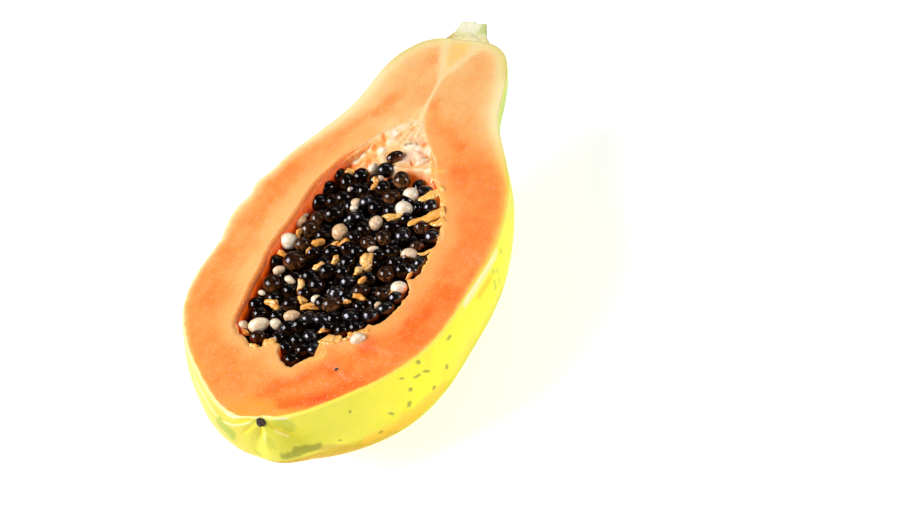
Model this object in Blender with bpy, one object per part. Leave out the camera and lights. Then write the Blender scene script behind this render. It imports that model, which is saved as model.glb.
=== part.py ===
"""Half of a small ripe papaya, cut lengthwise, lying on its round back with the cut face up.

Metres, +Z up. The stem end points to +Y, the blossom end to -Y. The origin is the middle of the
small flat spot that the fruit rests on. The shape is written in the fruit's own coordinates, in
millimetres: x across, y from the blossom scar to the stem, z out of the cut face, which is z = 0.
"""

import math

import bmesh
import bpy
import numpy as np
from mathutils import Euler, Matrix, Vector

MM = 0.001
SHARP_ANGLE = math.radians(40.0)

# The cut face stands this high over the surface, and the fruit's origin is under this point of it.
CUT_HEIGHT = 47.8
REST_POINT = (-0.4, 75.6)

# Half sections of the skin from the blossom scar to the stem. Each row holds the left edge of the
# cut (x, y), the keel under it (y, depth), the right edge of the cut (x, y), and how far the left
# and right sides bulge past an ellipse.
SKIN_SECTIONS = (
    (0.0, 0.3, 0.3, 0.0, 0.0, 0.3, 0.0, 0.0),
    (-7.0, -1.5, -2.4, 7.2, 5.5, 1.3, 2.2, 0.4),
    (-14.0, 0.4, -4.0, 13.9, 11.5, 4.5, 4.4, 0.6),
    (-20.5, 5.0, -2.4, 19.1, 17.5, 9.2, 6.4, 0.7),
    (-27.0, 11.2, 4.3, 25.1, 24.5, 15.6, 7.3, 0.9),
    (-35.0, 20.0, 13.7, 33.2, 32.0, 23.5, 7.0, 2.1),
    (-43.5, 32.5, 27.1, 41.2, 40.3, 37.0, 5.5, 3.9),
    (-47.6, 48.0, 45.0, 46.4, 43.9, 52.0, 3.0, 4.4),
    (-46.8, 65.0, 65.0, 48.2, 45.5, 67.0, 1.4, 3.8),
    (-46.9, 82.0, 83.0, 48.6, 46.3, 82.0, 1.0, 3.2),
    (-43.9, 98.0, 98.0, 46.4, 44.0, 98.0, 0.7, 2.7),
    (-38.0, 113.0, 112.0, 41.6, 38.9, 113.0, 0.5, 2.0),
    (-30.6, 127.5, 126.0, 34.6, 30.8, 127.5, 0.4, 1.2),
    (-26.2, 140.5, 139.0, 27.0, 24.5, 140.0, 0.3, 0.2),
    (-24.2, 152.0, 151.0, 22.4, 21.8, 152.0, 0.2, 0.0),
    (-21.0, 161.5, 161.0, 19.2, 19.0, 161.5, 0.2, 0.2),
    (-15.5, 168.6, 168.5, 14.8, 15.0, 168.6, 0.1, 0.5),
    (-8.5, 171.6, 171.8, 8.2, 8.5, 172.2, 0.0, 0.2),
    (0.0, 172.2, 172.2, 0.0, 0.0, 172.2, 0.0, 0.0),
)
ROWS_PER_SECTION = 2
SKIN_COLUMNS = 26

# Five shallow lobes meet at the blossom scar, with furrows between them that fade out along the
# body. One furrow runs down to the right, this many degrees under the cut face.
LOBE_COUNT = 5
LOBE_TURN = 33.0
LOBE_DEPTH = 1.1
LOBE_FADE = 20.0
LOBE_CENTRE = (0.0, 30.0, -12.0)

# The dried scar of the blossom, a knob just under the cut face.
SCAR_CENTRE = (-0.4, -0.4, -2.0)
SCAR_RADIUS = 1.6

# Sections of the seed cavity from the blossom end to the stem end: (y, left edge x, right edge x,
# depth). Towards the stem it ends in a shallow ledge of fibrous pulp.
CAVITY_SECTIONS = (
    (21.8, 0.6, 0.6, 0.0),
    (23.4, -3.6, 2.4, 9.0),
    (27.0, -8.8, 5.2, 15.0),
    (28.6, -17.0, 6.8, 18.0),
    (31.5, -22.4, 9.0, 20.5),
    (37.5, -25.8, 14.6, 24.0),
    (45.5, -27.2, 21.4, 26.5),
    (55.0, -27.2, 25.0, 28.0),
    (67.0, -26.8, 26.2, 28.0),
    (81.0, -25.0, 25.7, 28.0),
    (93.0, -23.2, 23.6, 27.0),
    (102.0, -21.9, 19.0, 24.0),
    (109.0, -20.2, 13.4, 14.0),
    (114.0, -17.4, 10.3, 5.5),
    (119.5, -13.4, 8.2, 3.4),
    (125.0, -8.4, 5.2, 3.0),
    (129.5, -2.8, 2.6, 2.4),
    (133.0, 0.0, 0.0, 0.0),
)
CAVITY_CENTRE = (0.0, 72.0)
CAVITY_SQUARENESS = 4.0
CAVITY_COLUMNS = 14

# The heap of seeds: its top sinks towards the wall and towards the left, and ends at the ledge. Its
# core fills the cavity but for a gap, and the seeds stand out of the core's top.
HEAP_TOP = -1.0
HEAP_FALL = 2.4
HEAP_TILT = 0.02
HEAP_END = 108.5
CORE_SCALE = 0.97
CORE_GAP = 0.9
CORE_SUNK = 0.6
CORE_LEAST_WIDTH = 5.0
CORE_TOP_COLUMNS = 8

# One seed, its half lengths along its own axes, and how much the sizes vary.
SEED_RADII = (3.1, 2.65, 2.45)
SEED_SIZE_SPREAD = 0.1
SEED_COUNT = 118
SEED_SPACING = 5.3
SEED_HEIGHT_SPREAD = 0.8
SEED_WALL_GAP = 0.9
SEED_TILT = 0.5
SEED_SIDES = 6
SEED_RINGS = 4

# The seeds are drawn at random in the heap, then pushed apart step by step.
SEED_RANDOM = 12
TRIES_PER_SEED = 40
TRY_SHARE = 0.93
SETTLE_STEPS = 60
SETTLE_PUSH = 0.25
OUTLINE_ROWS_PER_SECTION = 8

# The places of the seeds that stayed pale, (x, y).
PALE_SEEDS = (
    (-9.5, 100.3), (7.5, 101.2), (13.6, 96.0), (14.2, 86.5), (14.7, 82.4), (7.2, 71.2),
    (-4.8, 66.5), (-22.5, 53.0), (-20.8, 41.5), (-16.9, 38.6), (-5.9, 34.8), (-9.5, 28.6),
    (22.3, 62.4), (15.1, 42.6), (20.5, 75.5), (2.2, 61.5), (-2.5, 84.5), (-12.8, 63.0),
)

# The cut stub of the stem: (y, half width) from its base to its crown.
STUB_PROFILE = ((172.7, 7.9), (173.8, 6.9), (176.0, 5.9), (178.2, 5.4), (179.6, 4.4), (180.5, 2.5))
STUB_CROWN = 180.6
STUB_THICKNESS = 0.92
STUB_COLUMNS = 14
STUB_NOTCH = (1.3, 0.9, 0.8)


def smooth_step(value, low, high):
    """0 below low, 1 above high, and a smooth rise between them."""
    t = np.clip((np.asarray(value, float) - low) / (high - low), 0.0, 1.0)
    return t * t * (3.0 - 2.0 * t)


def spline(knots, at):
    """A natural cubic spline through evenly spaced knots, read at positions counted in knots."""
    knots = np.asarray(knots, float)
    at = np.asarray(at, float)
    count = len(knots)
    system = np.eye(count)
    bends = np.zeros_like(knots)
    for i in range(1, count - 1):
        system[i, i - 1 : i + 2] = (1.0, 4.0, 1.0)
        bends[i] = 6.0 * (knots[i - 1] - 2.0 * knots[i] + knots[i + 1])
    bends = np.linalg.solve(system, bends)
    first = np.clip(at.astype(int), 0, count - 2)
    t = (at - first)[:, None]
    straight = (1.0 - t) * knots[first] + t * knots[first + 1]
    curved = ((1.0 - t) ** 3 - (1.0 - t)) * bends[first] + (t**3 - t) * bends[first + 1]
    return straight + curved / 6.0


def rows_between(sections, rows_per_section):
    """The rows of a table and the smooth rows between them, without the first and the last."""
    steps = np.arange(1, (len(sections) - 1) * rows_per_section) / rows_per_section
    return spline(sections, steps)


def skin_row(section, columns):
    """One half section of the skin, from the left edge of the cut under the keel to the right."""
    left_x, left_y, keel_y, depth, right_x, right_y, left_bulge, right_bulge = section
    turn = np.linspace(0.0, math.pi, columns + 1)
    side = 0.5 - 0.5 * np.cos(turn)
    width = -left_x + (right_x + left_x) * side
    bulge = left_bulge + (right_bulge - left_bulge) * side
    edge_y = left_y + (right_y - left_y) * side
    x = -width * np.cos(turn) - bulge * np.sin(2.0 * turn)
    y = edge_y + (keel_y - edge_y) * np.sin(turn) ** 2
    z = -depth * np.sin(turn)
    return np.stack([x, y, z], axis=1)


def lobed(points):
    """Presses the furrows between the lobes of the blossom end into skin points."""
    x, y, z = points.T
    reach = np.linalg.norm(points, axis=1)
    turn = np.arctan2(-z, x) - math.radians(LOBE_TURN)
    furrow = (0.5 + 0.5 * np.cos(LOBE_COUNT * turn)) ** 3
    start = smooth_step(reach, 1.0, 7.0) * smooth_step(-z, 0.0, 3.0)
    depth = LOBE_DEPTH * furrow * start * np.exp(-((reach / LOBE_FADE) ** 2))
    inward = np.array(LOBE_CENTRE) - points
    inward /= np.linalg.norm(inward, axis=1)[:, None]
    return points + inward * depth[:, None]


def to_world(points):
    """Fruit coordinates in millimetres to the part's frame in metres."""
    shift = np.array([-REST_POINT[0], -REST_POINT[1], CUT_HEIGHT])
    return (np.asarray(points, float) + shift) * MM


def new_object(name, bm, materials):
    """Turns a bmesh into a smooth shaded object with its normals facing out."""
    bmesh.ops.recalc_face_normals(bm, faces=bm.faces)
    mesh = bpy.data.meshes.new(name)
    bm.to_mesh(mesh)
    bm.free()
    for worn in materials:
        mesh.materials.append(worn)
    mesh.shade_smooth()
    mesh.set_sharp_from_angle(angle=SHARP_ANGLE)
    obj = bpy.data.objects.new(name, mesh)
    bpy.context.scene.collection.objects.link(obj)
    return obj


def material(name, colour, roughness):
    """A plain Principled material."""
    made = bpy.data.materials.new(name)
    made.use_nodes = True
    shader = made.node_tree.nodes["Principled BSDF"]
    shader.inputs["Base Color"].default_value = (*colour, 1.0)
    shader.inputs["Roughness"].default_value = roughness
    shader.inputs["Metallic"].default_value = 0.0
    return made


def half_loft(rows, first_pole, last_pole, face_material=0):
    """A solid under the cut face: rows of points from edge to edge, closed by a pole at each end."""
    bm = bmesh.new()
    grid = [[bm.verts.new(point) for point in to_world(row)] for row in rows]
    first, last = (bm.verts.new(to_world([pole])[0]) for pole in (first_pole, last_pole))
    for one, other in zip(grid, grid[1:]):
        for a, b, c, d in zip(one, one[1:], other[1:], other):
            bm.faces.new((a, b, c, d))
    for pole, row in ((first, grid[0]), (last, grid[-1])):
        for a, b in zip(row, row[1:]):
            bm.faces.new((pole, a, b))
    left = [row[0] for row in grid]
    right = [row[-1] for row in grid]
    cut_face = bm.faces.new([first, *left, last, *reversed(right)])
    cut_face.material_index = face_material
    return bm


def ring_solid(rings, first_end, last_end):
    """A closed solid of rings with the same number of points, with a point at each end."""
    bm = bmesh.new()
    grid = [[bm.verts.new(point) for point in to_world(ring)] for ring in rings]
    ends = [bm.verts.new(to_world([end])[0]) for end in (first_end, last_end)]
    for one, other in zip(grid, grid[1:]):
        for i in range(len(one)):
            bm.faces.new((one[i - 1], one[i], other[i], other[i - 1]))
    for end, ring in zip(ends, (grid[0], grid[-1])):
        for i in range(len(ring)):
            bm.faces.new((end, ring[i - 1], ring[i]))
    return bm


def apply_boolean(target, operation, operand=None, collection=None):
    """Applies one Boolean to target and removes what it used."""
    modifier = target.modifiers.new(operation.lower(), "BOOLEAN")
    modifier.operation = operation
    modifier.solver = "EXACT"
    if operand is not None:
        modifier.object = operand
    else:
        modifier.operand_type = "COLLECTION"
        modifier.collection = collection
    bpy.context.view_layer.update()
    with bpy.context.temp_override(object=target, active_object=target):
        bpy.ops.object.modifier_apply(modifier=modifier.name)
    used = [operand] if operand is not None else list(collection.objects)
    for obj in used:
        bpy.data.objects.remove(obj)
    if collection is not None:
        bpy.data.collections.remove(collection)


def cavity_outline(rows_per_section):
    """Points of the cavity's edge in the cut face, anticlockwise from its stem end."""
    rows = rows_between(CAVITY_SECTIONS, rows_per_section)
    left = rows[::-1, [1, 0]]
    right = rows[:, [2, 0]]
    first, last = CAVITY_SECTIONS[0], CAVITY_SECTIONS[-1]
    return np.vstack([[(last[1], last[0])], left, [(first[1], first[0])], right])


def cavity_profile():
    """A section of the cavity from edge to edge: places across it from -1 to 1, and shares of depth."""
    turn = np.linspace(0.0, math.pi, CAVITY_COLUMNS + 1)
    across = -np.sign(np.cos(turn)) * np.abs(np.cos(turn)) ** (2.0 / CAVITY_SQUARENESS)
    down = np.sin(turn) ** (2.0 / CAVITY_SQUARENESS)
    return across, down


def make_cavity_cutter(materials):
    """The space of the seed cavity, from a little above the cut face down to its floor."""
    proud = 2.0
    across, down = cavity_profile()
    rows = []
    for y, left, right, depth in rows_between(CAVITY_SECTIONS, 1):
        x = (left + right) / 2.0 + across * (right - left) / 2.0
        row = np.column_stack([x, np.full_like(x, y), -depth * down])
        rim = row[[0, -1]].copy()
        rim[:, 2] = proud
        row[[0, -1], 2] = 0.0
        rows.append(np.vstack([rim[:1], row, rim[1:]]))
    first, last = CAVITY_SECTIONS[0], CAVITY_SECTIONS[-1]
    poles = [(section[1], section[0], proud) for section in (first, last)]
    bm = half_loft(rows, *poles)
    for face in bm.faces:
        face.material_index = 1
    return new_object("cavity_cutter", bm, materials)


def make_fruit(peel, flesh):
    """Peel and flesh in one solid, with the cavity cut out and the flat spot pressed in."""
    rows = []
    for section in rows_between(SKIN_SECTIONS, ROWS_PER_SECTION):
        row = lobed(skin_row(section, SKIN_COLUMNS))
        row[:, 2] = np.maximum(row[:, 2], -CUT_HEIGHT)
        row[[0, -1], 2] = 0.0
        rows.append(row)
    poles = [(section[0], section[1], 0.0) for section in (SKIN_SECTIONS[0], SKIN_SECTIONS[-1])]
    fruit = new_object("fruit_half", half_loft(rows, *poles, face_material=1), (peel, flesh))

    scar = bmesh.new()
    bmesh.ops.create_icosphere(scar, subdivisions=2, radius=SCAR_RADIUS * MM)
    bmesh.ops.translate(scar, vec=Vector(to_world([SCAR_CENTRE])[0]), verts=scar.verts)
    apply_boolean(fruit, "UNION", operand=new_object("scar", scar, (peel, flesh)))
    apply_boolean(fruit, "DIFFERENCE", operand=make_cavity_cutter((peel, flesh)))
    fruit.data.shade_smooth()
    fruit.data.set_sharp_from_angle(angle=SHARP_ANGLE)


def edge_share(points, edge):
    """How far each point lies from the cavity's centre, as a share of the way to its edge."""
    centre = np.array(CAVITY_CENTRE)
    angles = np.arctan2(*(edge - centre).T[::-1])
    lengths = np.hypot(*(edge - centre).T)
    order = np.argsort(angles)
    away = points - centre
    limit = np.interp(np.arctan2(away[:, 1], away[:, 0]), angles[order], lengths[order], period=2 * math.pi)
    return np.hypot(*away.T) / limit


def heap_height(points, edge):
    """The height of the middles of the top seeds."""
    return HEAP_TOP - HEAP_FALL * edge_share(points, edge) ** 2 + HEAP_TILT * points[:, 0]


def kept_inside(points, edge, margin):
    """Moves points in from the cavity's edge until they keep the margin to it and to the heap's end."""
    along = np.roll(edge, -1, axis=0) - np.roll(edge, 1, axis=0)
    inward = np.column_stack([-along[:, 1], along[:, 0]]) / np.hypot(*along.T)[:, None]
    nearest = np.linalg.norm(points[:, None] - edge[None], axis=2).argmin(axis=1)
    reach = ((points - edge[nearest]) * inward[nearest]).sum(axis=1)
    points = points + inward[nearest] * np.maximum(margin - reach, 0.0)[:, None]
    points[:, 1] = np.minimum(points[:, 1], HEAP_END)
    return points


def seed_places(edge, draw):
    """Middles of the top seeds: the pale ones where they are, the rest settled round them."""
    margin = SEED_RADII[0] * (1.0 + SEED_SIZE_SPREAD) + SEED_WALL_GAP
    pale = np.array(PALE_SEEDS)
    low, high = edge.min(axis=0), edge.max(axis=0)
    spots = kept_inside(pale, edge, margin)
    while len(spots) < SEED_COUNT:
        tries = draw.uniform(low, high, size=(TRIES_PER_SEED, 2))
        tries = tries[(edge_share(tries, edge) < TRY_SHARE) & (tries[:, 1] < HEAP_END)]
        nearest = np.linalg.norm(tries[:, None] - spots[None], axis=2).min(axis=1)
        spots = np.vstack([spots, tries[nearest.argmax()]])
    for _ in range(SETTLE_STEPS):
        gaps = spots[:, None] - spots[None]
        distance = np.maximum(np.linalg.norm(gaps, axis=2), 0.01)
        push = np.clip(SEED_SPACING - distance, 0.0, None) / distance * SETTLE_PUSH
        np.fill_diagonal(push, 0.0)
        moved = (gaps * push[:, :, None]).sum(axis=1)
        moved[: len(pale)] = 0.0
        spots = kept_inside(spots + moved, edge, margin)
    return np.column_stack([spots, heap_height(spots, edge)])


def make_core(edge, seed_material):
    """The middle of the heap, which the seeds stand out of. It follows the cavity under them."""
    across, down = cavity_profile()
    back_across = np.linspace(1.0, -1.0, CORE_TOP_COLUMNS + 1)
    middle = CAVITY_CENTRE[1]
    rings = []
    for y, left, right, depth in rows_between(CAVITY_SECTIONS, 1):
        y = middle + (y - middle) * CORE_SCALE
        half = (right - left) / 2.0 - CORE_GAP
        if y > HEAP_END or half * 2.0 < CORE_LEAST_WIDTH:
            continue
        x = (left + right) / 2.0 + half * np.concatenate([across, back_across[1:-1]])
        flat = np.column_stack([x, np.full_like(x, y)])
        z = heap_height(flat, edge) - CORE_SUNK
        lower = len(across)
        z[:lower] = np.minimum(z[:lower], -(depth - CORE_GAP) * down)
        rings.append(np.column_stack([flat, z]))
    ends = [ring.mean(axis=0) for ring in (rings[0], rings[-1])]
    return new_object("seed_mass", ring_solid(rings, *ends), (seed_material,))


def make_seeds(seed_material):
    """The heap of seeds as one body."""
    draw = np.random.default_rng(SEED_RANDOM)
    edge = cavity_outline(OUTLINE_ROWS_PER_SECTION)
    places = seed_places(edge, draw)
    heap = make_core(edge, seed_material)
    seeds = bpy.data.collections.new("seeds")
    bpy.context.scene.collection.children.link(seeds)
    for number, place in enumerate(places):
        place[2] += draw.uniform(-SEED_HEIGHT_SPREAD, SEED_HEIGHT_SPREAD)
        size = 1.0 + draw.uniform(-SEED_SIZE_SPREAD, SEED_SIZE_SPREAD)
        tilt = draw.uniform(-SEED_TILT, SEED_TILT, 2)
        turn = Euler((tilt[0], tilt[1], draw.uniform(0.0, math.pi)))
        shape = Matrix.Translation(to_world([place])[0]) @ turn.to_matrix().to_4x4()
        shape = shape @ Matrix.Diagonal((*(Vector(SEED_RADII) * size * MM), 1.0))
        bm = bmesh.new()
        bmesh.ops.create_uvsphere(bm, u_segments=SEED_SIDES, v_segments=SEED_RINGS, radius=1.0, matrix=shape)
        seed = new_object(f"seed_{number}", bm, (seed_material,))
        bpy.context.scene.collection.objects.unlink(seed)
        seeds.objects.link(seed)
    apply_boolean(heap, "UNION", collection=seeds)
    heap.data.shade_smooth()
    heap.data.set_sharp_from_angle(angle=SHARP_ANGLE)


def make_stub(stub_material):
    """The cut stub of the stem, half round like the fruit, with a notch in its crown."""
    turn = np.linspace(0.0, math.pi, STUB_COLUMNS + 1)
    base = STUB_PROFILE[0][0]
    rows = []
    for y, half_width in STUB_PROFILE:
        x = -half_width * np.cos(turn)
        z = -half_width * STUB_THICKNESS * np.sin(turn)
        row = np.column_stack([x, np.full_like(x, y), z])
        rows.append(row)
    place, width, deep = STUB_NOTCH
    for row in rows[1:]:
        height = (row[:, 1] - base) / (STUB_CROWN - base)
        row[:, 1] -= deep * height * np.exp(-(((row[:, 0] - place) / width) ** 2))
    for row in rows:
        row[[0, -1], 2] = 0.0
    bm = half_loft(rows, (0.0, base, 0.0), (0.0, STUB_CROWN, 0.0))
    new_object("stem_stub", bm, (stub_material,))


def main():
    for obj in list(bpy.data.objects):
        bpy.data.objects.remove(obj)
    peel = material("papaya_peel", (0.85, 0.80, 0.10), 0.35)
    flesh = material("papaya_flesh", (0.95, 0.35, 0.10), 0.4)
    seed_coat = material("papaya_seed", (0.03, 0.018, 0.012), 0.15)
    stem = material("papaya_stem", (0.86, 0.83, 0.58), 0.6)
    make_fruit(peel, flesh)
    make_seeds(seed_coat)
    make_stub(stem)


main()
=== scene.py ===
"""The looks of half a ripe papaya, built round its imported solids.

The shape is worked out in the fruit's own coordinates, in millimetres, as the solids are: x across,
y from the blossom scar to the stem, z out of the cut face, which is z = 0.
"""

import math

import bmesh
import bpy
import numpy as np
from mathutils import Matrix, Vector, noise


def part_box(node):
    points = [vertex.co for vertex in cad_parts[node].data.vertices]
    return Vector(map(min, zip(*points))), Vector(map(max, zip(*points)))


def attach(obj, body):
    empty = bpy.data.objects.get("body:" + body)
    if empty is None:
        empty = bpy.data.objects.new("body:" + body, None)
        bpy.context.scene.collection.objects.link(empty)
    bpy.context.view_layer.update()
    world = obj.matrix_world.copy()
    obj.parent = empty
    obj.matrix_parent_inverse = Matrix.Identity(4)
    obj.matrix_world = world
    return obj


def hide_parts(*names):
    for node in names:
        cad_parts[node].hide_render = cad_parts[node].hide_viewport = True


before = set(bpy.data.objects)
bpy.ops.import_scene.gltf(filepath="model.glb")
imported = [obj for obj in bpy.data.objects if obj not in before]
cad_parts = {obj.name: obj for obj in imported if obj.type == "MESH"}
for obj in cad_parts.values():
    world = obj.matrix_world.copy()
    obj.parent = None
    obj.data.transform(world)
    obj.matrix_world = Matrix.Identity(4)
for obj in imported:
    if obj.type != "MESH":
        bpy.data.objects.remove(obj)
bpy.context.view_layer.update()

# A millimetre in metres, how high the cut face is over the floor, the point (x, y) of the fruit that
# stands over the frame's origin, and the middle of the fruit's length.
MM = 0.001
CUT_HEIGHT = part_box("fruit_half")[1].z / MM
REST_POINT = (-0.4, 75.6)
FRUIT_MIDDLE = 75.0

# The floor's side in metres, and the brightness of the world.
FLOOR_SIDE = 5.0
WORLD_STRENGTH = 0.05

# The camera, in the fruit's coordinates. The focal length is counted in pixels of the picture.
PICTURE = (900, 513)
SENSOR_WIDTH = 36.0
FOCAL_PIXELS = 4000.0
CAMERA_PLACE = np.array([538.107, -680.194, 894.18])
CAMERA_RIGHT = np.array([0.90677, 0.37299, -0.1966])
CAMERA_UP = np.array([-0.1448, 0.71341, 0.68562])
CAMERA_BACK = np.array([0.39599, -0.59323, 0.70091])

# Half sections of the skin from the blossom scar to the stem. Each row holds the left edge of the
# cut (x, y), the keel under it (y, depth), the right edge of the cut (x, y), and how far the left
# and right sides bulge past an ellipse.
SKIN_SECTIONS = (
    (0.0, 0.3, 0.3, 0.0, 0.0, 0.3, 0.0, 0.0), (-7.0, -1.5, -2.4, 7.2, 5.5, 1.3, 2.2, 0.4),
    (-14.0, 0.4, -4.0, 13.9, 11.5, 4.5, 4.4, 0.6), (-20.5, 5.0, -2.4, 19.1, 17.5, 9.2, 6.4, 0.7),
    (-27.0, 11.2, 4.3, 25.1, 24.5, 15.6, 7.3, 0.9), (-35.0, 20.0, 13.7, 33.2, 32.0, 23.5, 7.0, 2.1),
    (-43.5, 32.5, 27.1, 41.2, 40.3, 37.0, 5.5, 3.9), (-47.6, 48.0, 45.0, 46.4, 43.9, 52.0, 3.0, 4.4),
    (-46.8, 65.0, 65.0, 48.2, 45.5, 67.0, 1.4, 3.8), (-46.9, 82.0, 83.0, 48.6, 46.3, 82.0, 1.0, 3.2),
    (-43.9, 98.0, 98.0, 46.4, 44.0, 98.0, 0.7, 2.7), (-38.0, 113.0, 112.0, 41.6, 38.9, 113.0, 0.5, 2.0),
    (-30.6, 127.5, 126.0, 34.6, 30.8, 127.5, 0.4, 1.2),
    (-26.2, 140.5, 139.0, 27.0, 24.5, 140.0, 0.3, 0.2),
    (-24.2, 152.0, 151.0, 22.4, 21.8, 152.0, 0.2, 0.0),
    (-21.0, 161.5, 161.0, 19.2, 19.0, 161.5, 0.2, 0.2),
    (-15.5, 168.6, 168.5, 14.8, 15.0, 168.6, 0.1, 0.5), (-8.5, 171.6, 171.8, 8.2, 8.5, 172.2, 0.0, 0.2),
    (0.0, 172.2, 172.2, 0.0, 0.0, 172.2, 0.0, 0.0),
)
ROWS_PER_SECTION = 14
SKIN_COLUMNS = 140

# Five shallow lobes meet at the blossom scar, with furrows between them that fade out along the
# body. One furrow runs down to the right, this many degrees under the cut face.
LOBE_COUNT = 5
LOBE_TURN = 33.0
LOBE_DEPTH = 1.1
LOBE_FADE = 20.0
LOBE_CENTRE = (0.0, 30.0, -12.0)

# Waves in the left edge of the cut: place along the fruit, how far in, half width.
EDGE_WAVES = (
    (102.4, 0.5, 3.0), (95.7, -0.3, 2.5), (89.2, 1.1, 3.4), (79.8, -0.3, 3.0), (69.0, 0.6, 3.2),
    (55.0, -0.3, 4.0),
)

# Creases and fine ridges of the skin round the blossom scar: pixels of the picture, half width and
# depth in millimetres, and their tint: above 0 how pale they are, below 0 how much painted golden shade lies
# in them.
SKIN_LINES = (
    (((496, 253), (491, 263), (485, 272), (479, 281), (473, 291), (466, 301), (461, 307)), 1.8, 0.25, 1.4),
    (((491, 276), (488, 281), (484, 288), (480, 295), (477, 300)), 1.2, 0.3, -1.5),
    (((498, 246), (499, 251)), 0.6, 0.15, -1.0),
    (((225, 412), (234, 417), (248, 415)), 0.45, -0.3, 2.2),
    (((250, 412), (254, 415), (265, 415), (268, 412)), 0.45, -0.3, 2.2),
    (((270, 417), (282, 418), (292, 417)), 0.45, -0.3, 2.2),
    (((270, 425), (276, 429), (284, 432), (292, 435), (300, 436)), 0.45, 0.45, -0.4),
    (((271, 428), (278, 432), (286, 435), (296, 438)), 0.8, -0.2, 0.5),
    (((262, 427), (261, 433), (259, 440)), 0.45, 0.5, -0.4),
    (((266, 429), (265, 436), (264, 446)), 1.0, -0.25, 0.55),
    (((254, 425), (248, 430), (240, 436)), 0.6, 0.45, -0.5),
    (
        ((252, 421), (244, 424), (233, 425), (222, 420), (213, 409), (205, 396), (198, 383), (192, 368)),
        0.5, -0.35, 0.8,
    ),
    (((253, 418), (244, 419), (234, 420)), 0.8, 0.3, -0.6),
    (((226, 416), (216, 406), (208, 394), (200, 381), (194, 368)), 0.45, 0.25, -0.25),
    (((245, 427), (236, 429)), 1.0, -0.15, 0.35),
)

# Sections of the seed cavity from the blossom end to the stem end: (y, left edge x, right edge x,
# depth). Towards the stem it ends in a shallow ledge of fibrous pulp.
CAVITY_SECTIONS = (
    (21.8, 0.6, 0.6, 0.0), (23.4, -3.6, 2.4, 9.0), (27.0, -8.8, 5.2, 15.0), (28.6, -17.0, 6.8, 18.0),
    (31.5, -22.4, 9.0, 20.5), (37.5, -25.8, 14.6, 24.0), (45.5, -27.2, 21.4, 26.5),
    (55.0, -27.2, 25.0, 28.0), (67.0, -26.8, 26.2, 28.0), (81.0, -25.0, 25.7, 28.0),
    (93.0, -23.2, 23.6, 27.0), (102.0, -21.9, 19.0, 24.0), (109.0, -20.2, 13.4, 14.0),
    (114.0, -17.4, 10.3, 5.5), (119.5, -13.4, 8.2, 3.4), (125.0, -8.4, 5.2, 3.0), (129.5, -2.8, 2.6, 2.4),
    (133.0, 0.0, 0.0, 0.0),
)
CAVITY_CENTRE = np.array([0.0, 72.0])
CAVITY_SQUARENESS = 4.0

# The torn edge of the cavity in the cut face, as pixels of the picture.
EDGE_PIXELS = (
    (424, 121), (425, 132), (428, 142), (431, 150), (434, 158), (436, 166), (433, 171), (436, 178),
    (438, 184), (437, 190), (440, 198), (440, 204), (444, 209), (441, 214), (441, 224), (442, 232),
    (441, 239), (436, 244), (431, 249), (427, 255), (426, 261), (422, 267), (420, 272), (414, 278),
    (406, 279), (409, 287), (408, 295), (402, 300), (399, 305), (395, 311), (388, 316), (381, 322),
    (373, 324), (368, 323), (364, 328), (355, 330), (349, 333), (344, 339), (340, 334), (329, 334),
    (321, 338), (325, 344), (325, 350), (319, 356), (309, 356), (301, 360), (291, 366), (285, 365),
    (280, 358), (277, 350), (280, 343), (273, 340), (264, 344), (254, 345), (248, 341), (245, 335),
    (238, 331), (235, 324), (238, 316), (243, 306), (248, 296), (253, 284), (259, 274), (264, 264),
    (268, 254), (274, 243), (283, 231), (293, 219), (301, 207), (307, 197), (314, 187), (323, 177),
    (333, 168), (343, 159), (353, 151), (364, 144), (374, 137), (385, 131), (397, 125), (410, 120),
)
EDGE_STEPS = 1440

# The heap of seeds: its top sinks towards the wall and towards the left, and ends at the ledge.
HEAP_TOP = -1.0
HEAP_FALL = 2.4
HEAP_TILT = 0.02
HEAP_END = 108.5

# How often a height is worked out anew on the way to the point that the camera sees.
HEAP_STEPS = 4
LEDGE_STEPS = 8

# The rounded edge of the cut: its height, then (in from the skin, share of the height still to climb).
LIP = 0.35
LIP_RINGS = ((0.1, 0.35), (0.32, 0.0))

# How far the cut face drops as it rounds off into the cavity on the left, and over what width.
BEVEL_DEPTH = 0.5
BEVEL_WIDTH = 1.2

# The distance that stands for far away: from the rim on the cavity's wall, and from the cavity on
# the skin.
FAR_AWAY = 40.0

# Rings of points on the cut face, the cavity's wall and its floor.
FACE_RINGS = 44
WALL_RINGS = 18
FLOOR_RINGS = 10

# The strand that runs up from the cavity and forks under the stem: (x, y, half width). Its foot
# fans out into the pulp, and the wedge in its fork is yellow.
STRAND = ((-1.2, 133.9, 1.0), (-1.7, 138.0, 0.8), (-1.7, 143.9, 0.55), (-1.6, 150.0, 0.6), (-2.2, 154.0, 1.1))
FORK_LEFT = ((-2.2, 154.0, 1.6), (-3.6, 160.0, 1.5), (-5.6, 165.0, 1.5), (-7.0, 170.5, 1.9))
FORK_RIGHT = ((-2.2, 154.0, 1.4), (0.6, 158.5, 1.6), (3.4, 165.0, 1.5), (5.4, 171.0, 2.4))
FAN = ((-1.5, 141.0, 0.9), (-2.6, 136.5, 2.2), (-4.4, 132.5, 3.8), (-7.0, 128.0, 6.0))
FORK_TOP = ((-7.4, 170.6, 1.0), (-1.0, 171.6, 1.2), (5.6, 171.4, 1.6))
WEDGE = ((-1.6, 158.0, 1.4), (-1.6, 163.0, 3.0), (-1.6, 168.6, 4.4))

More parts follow.
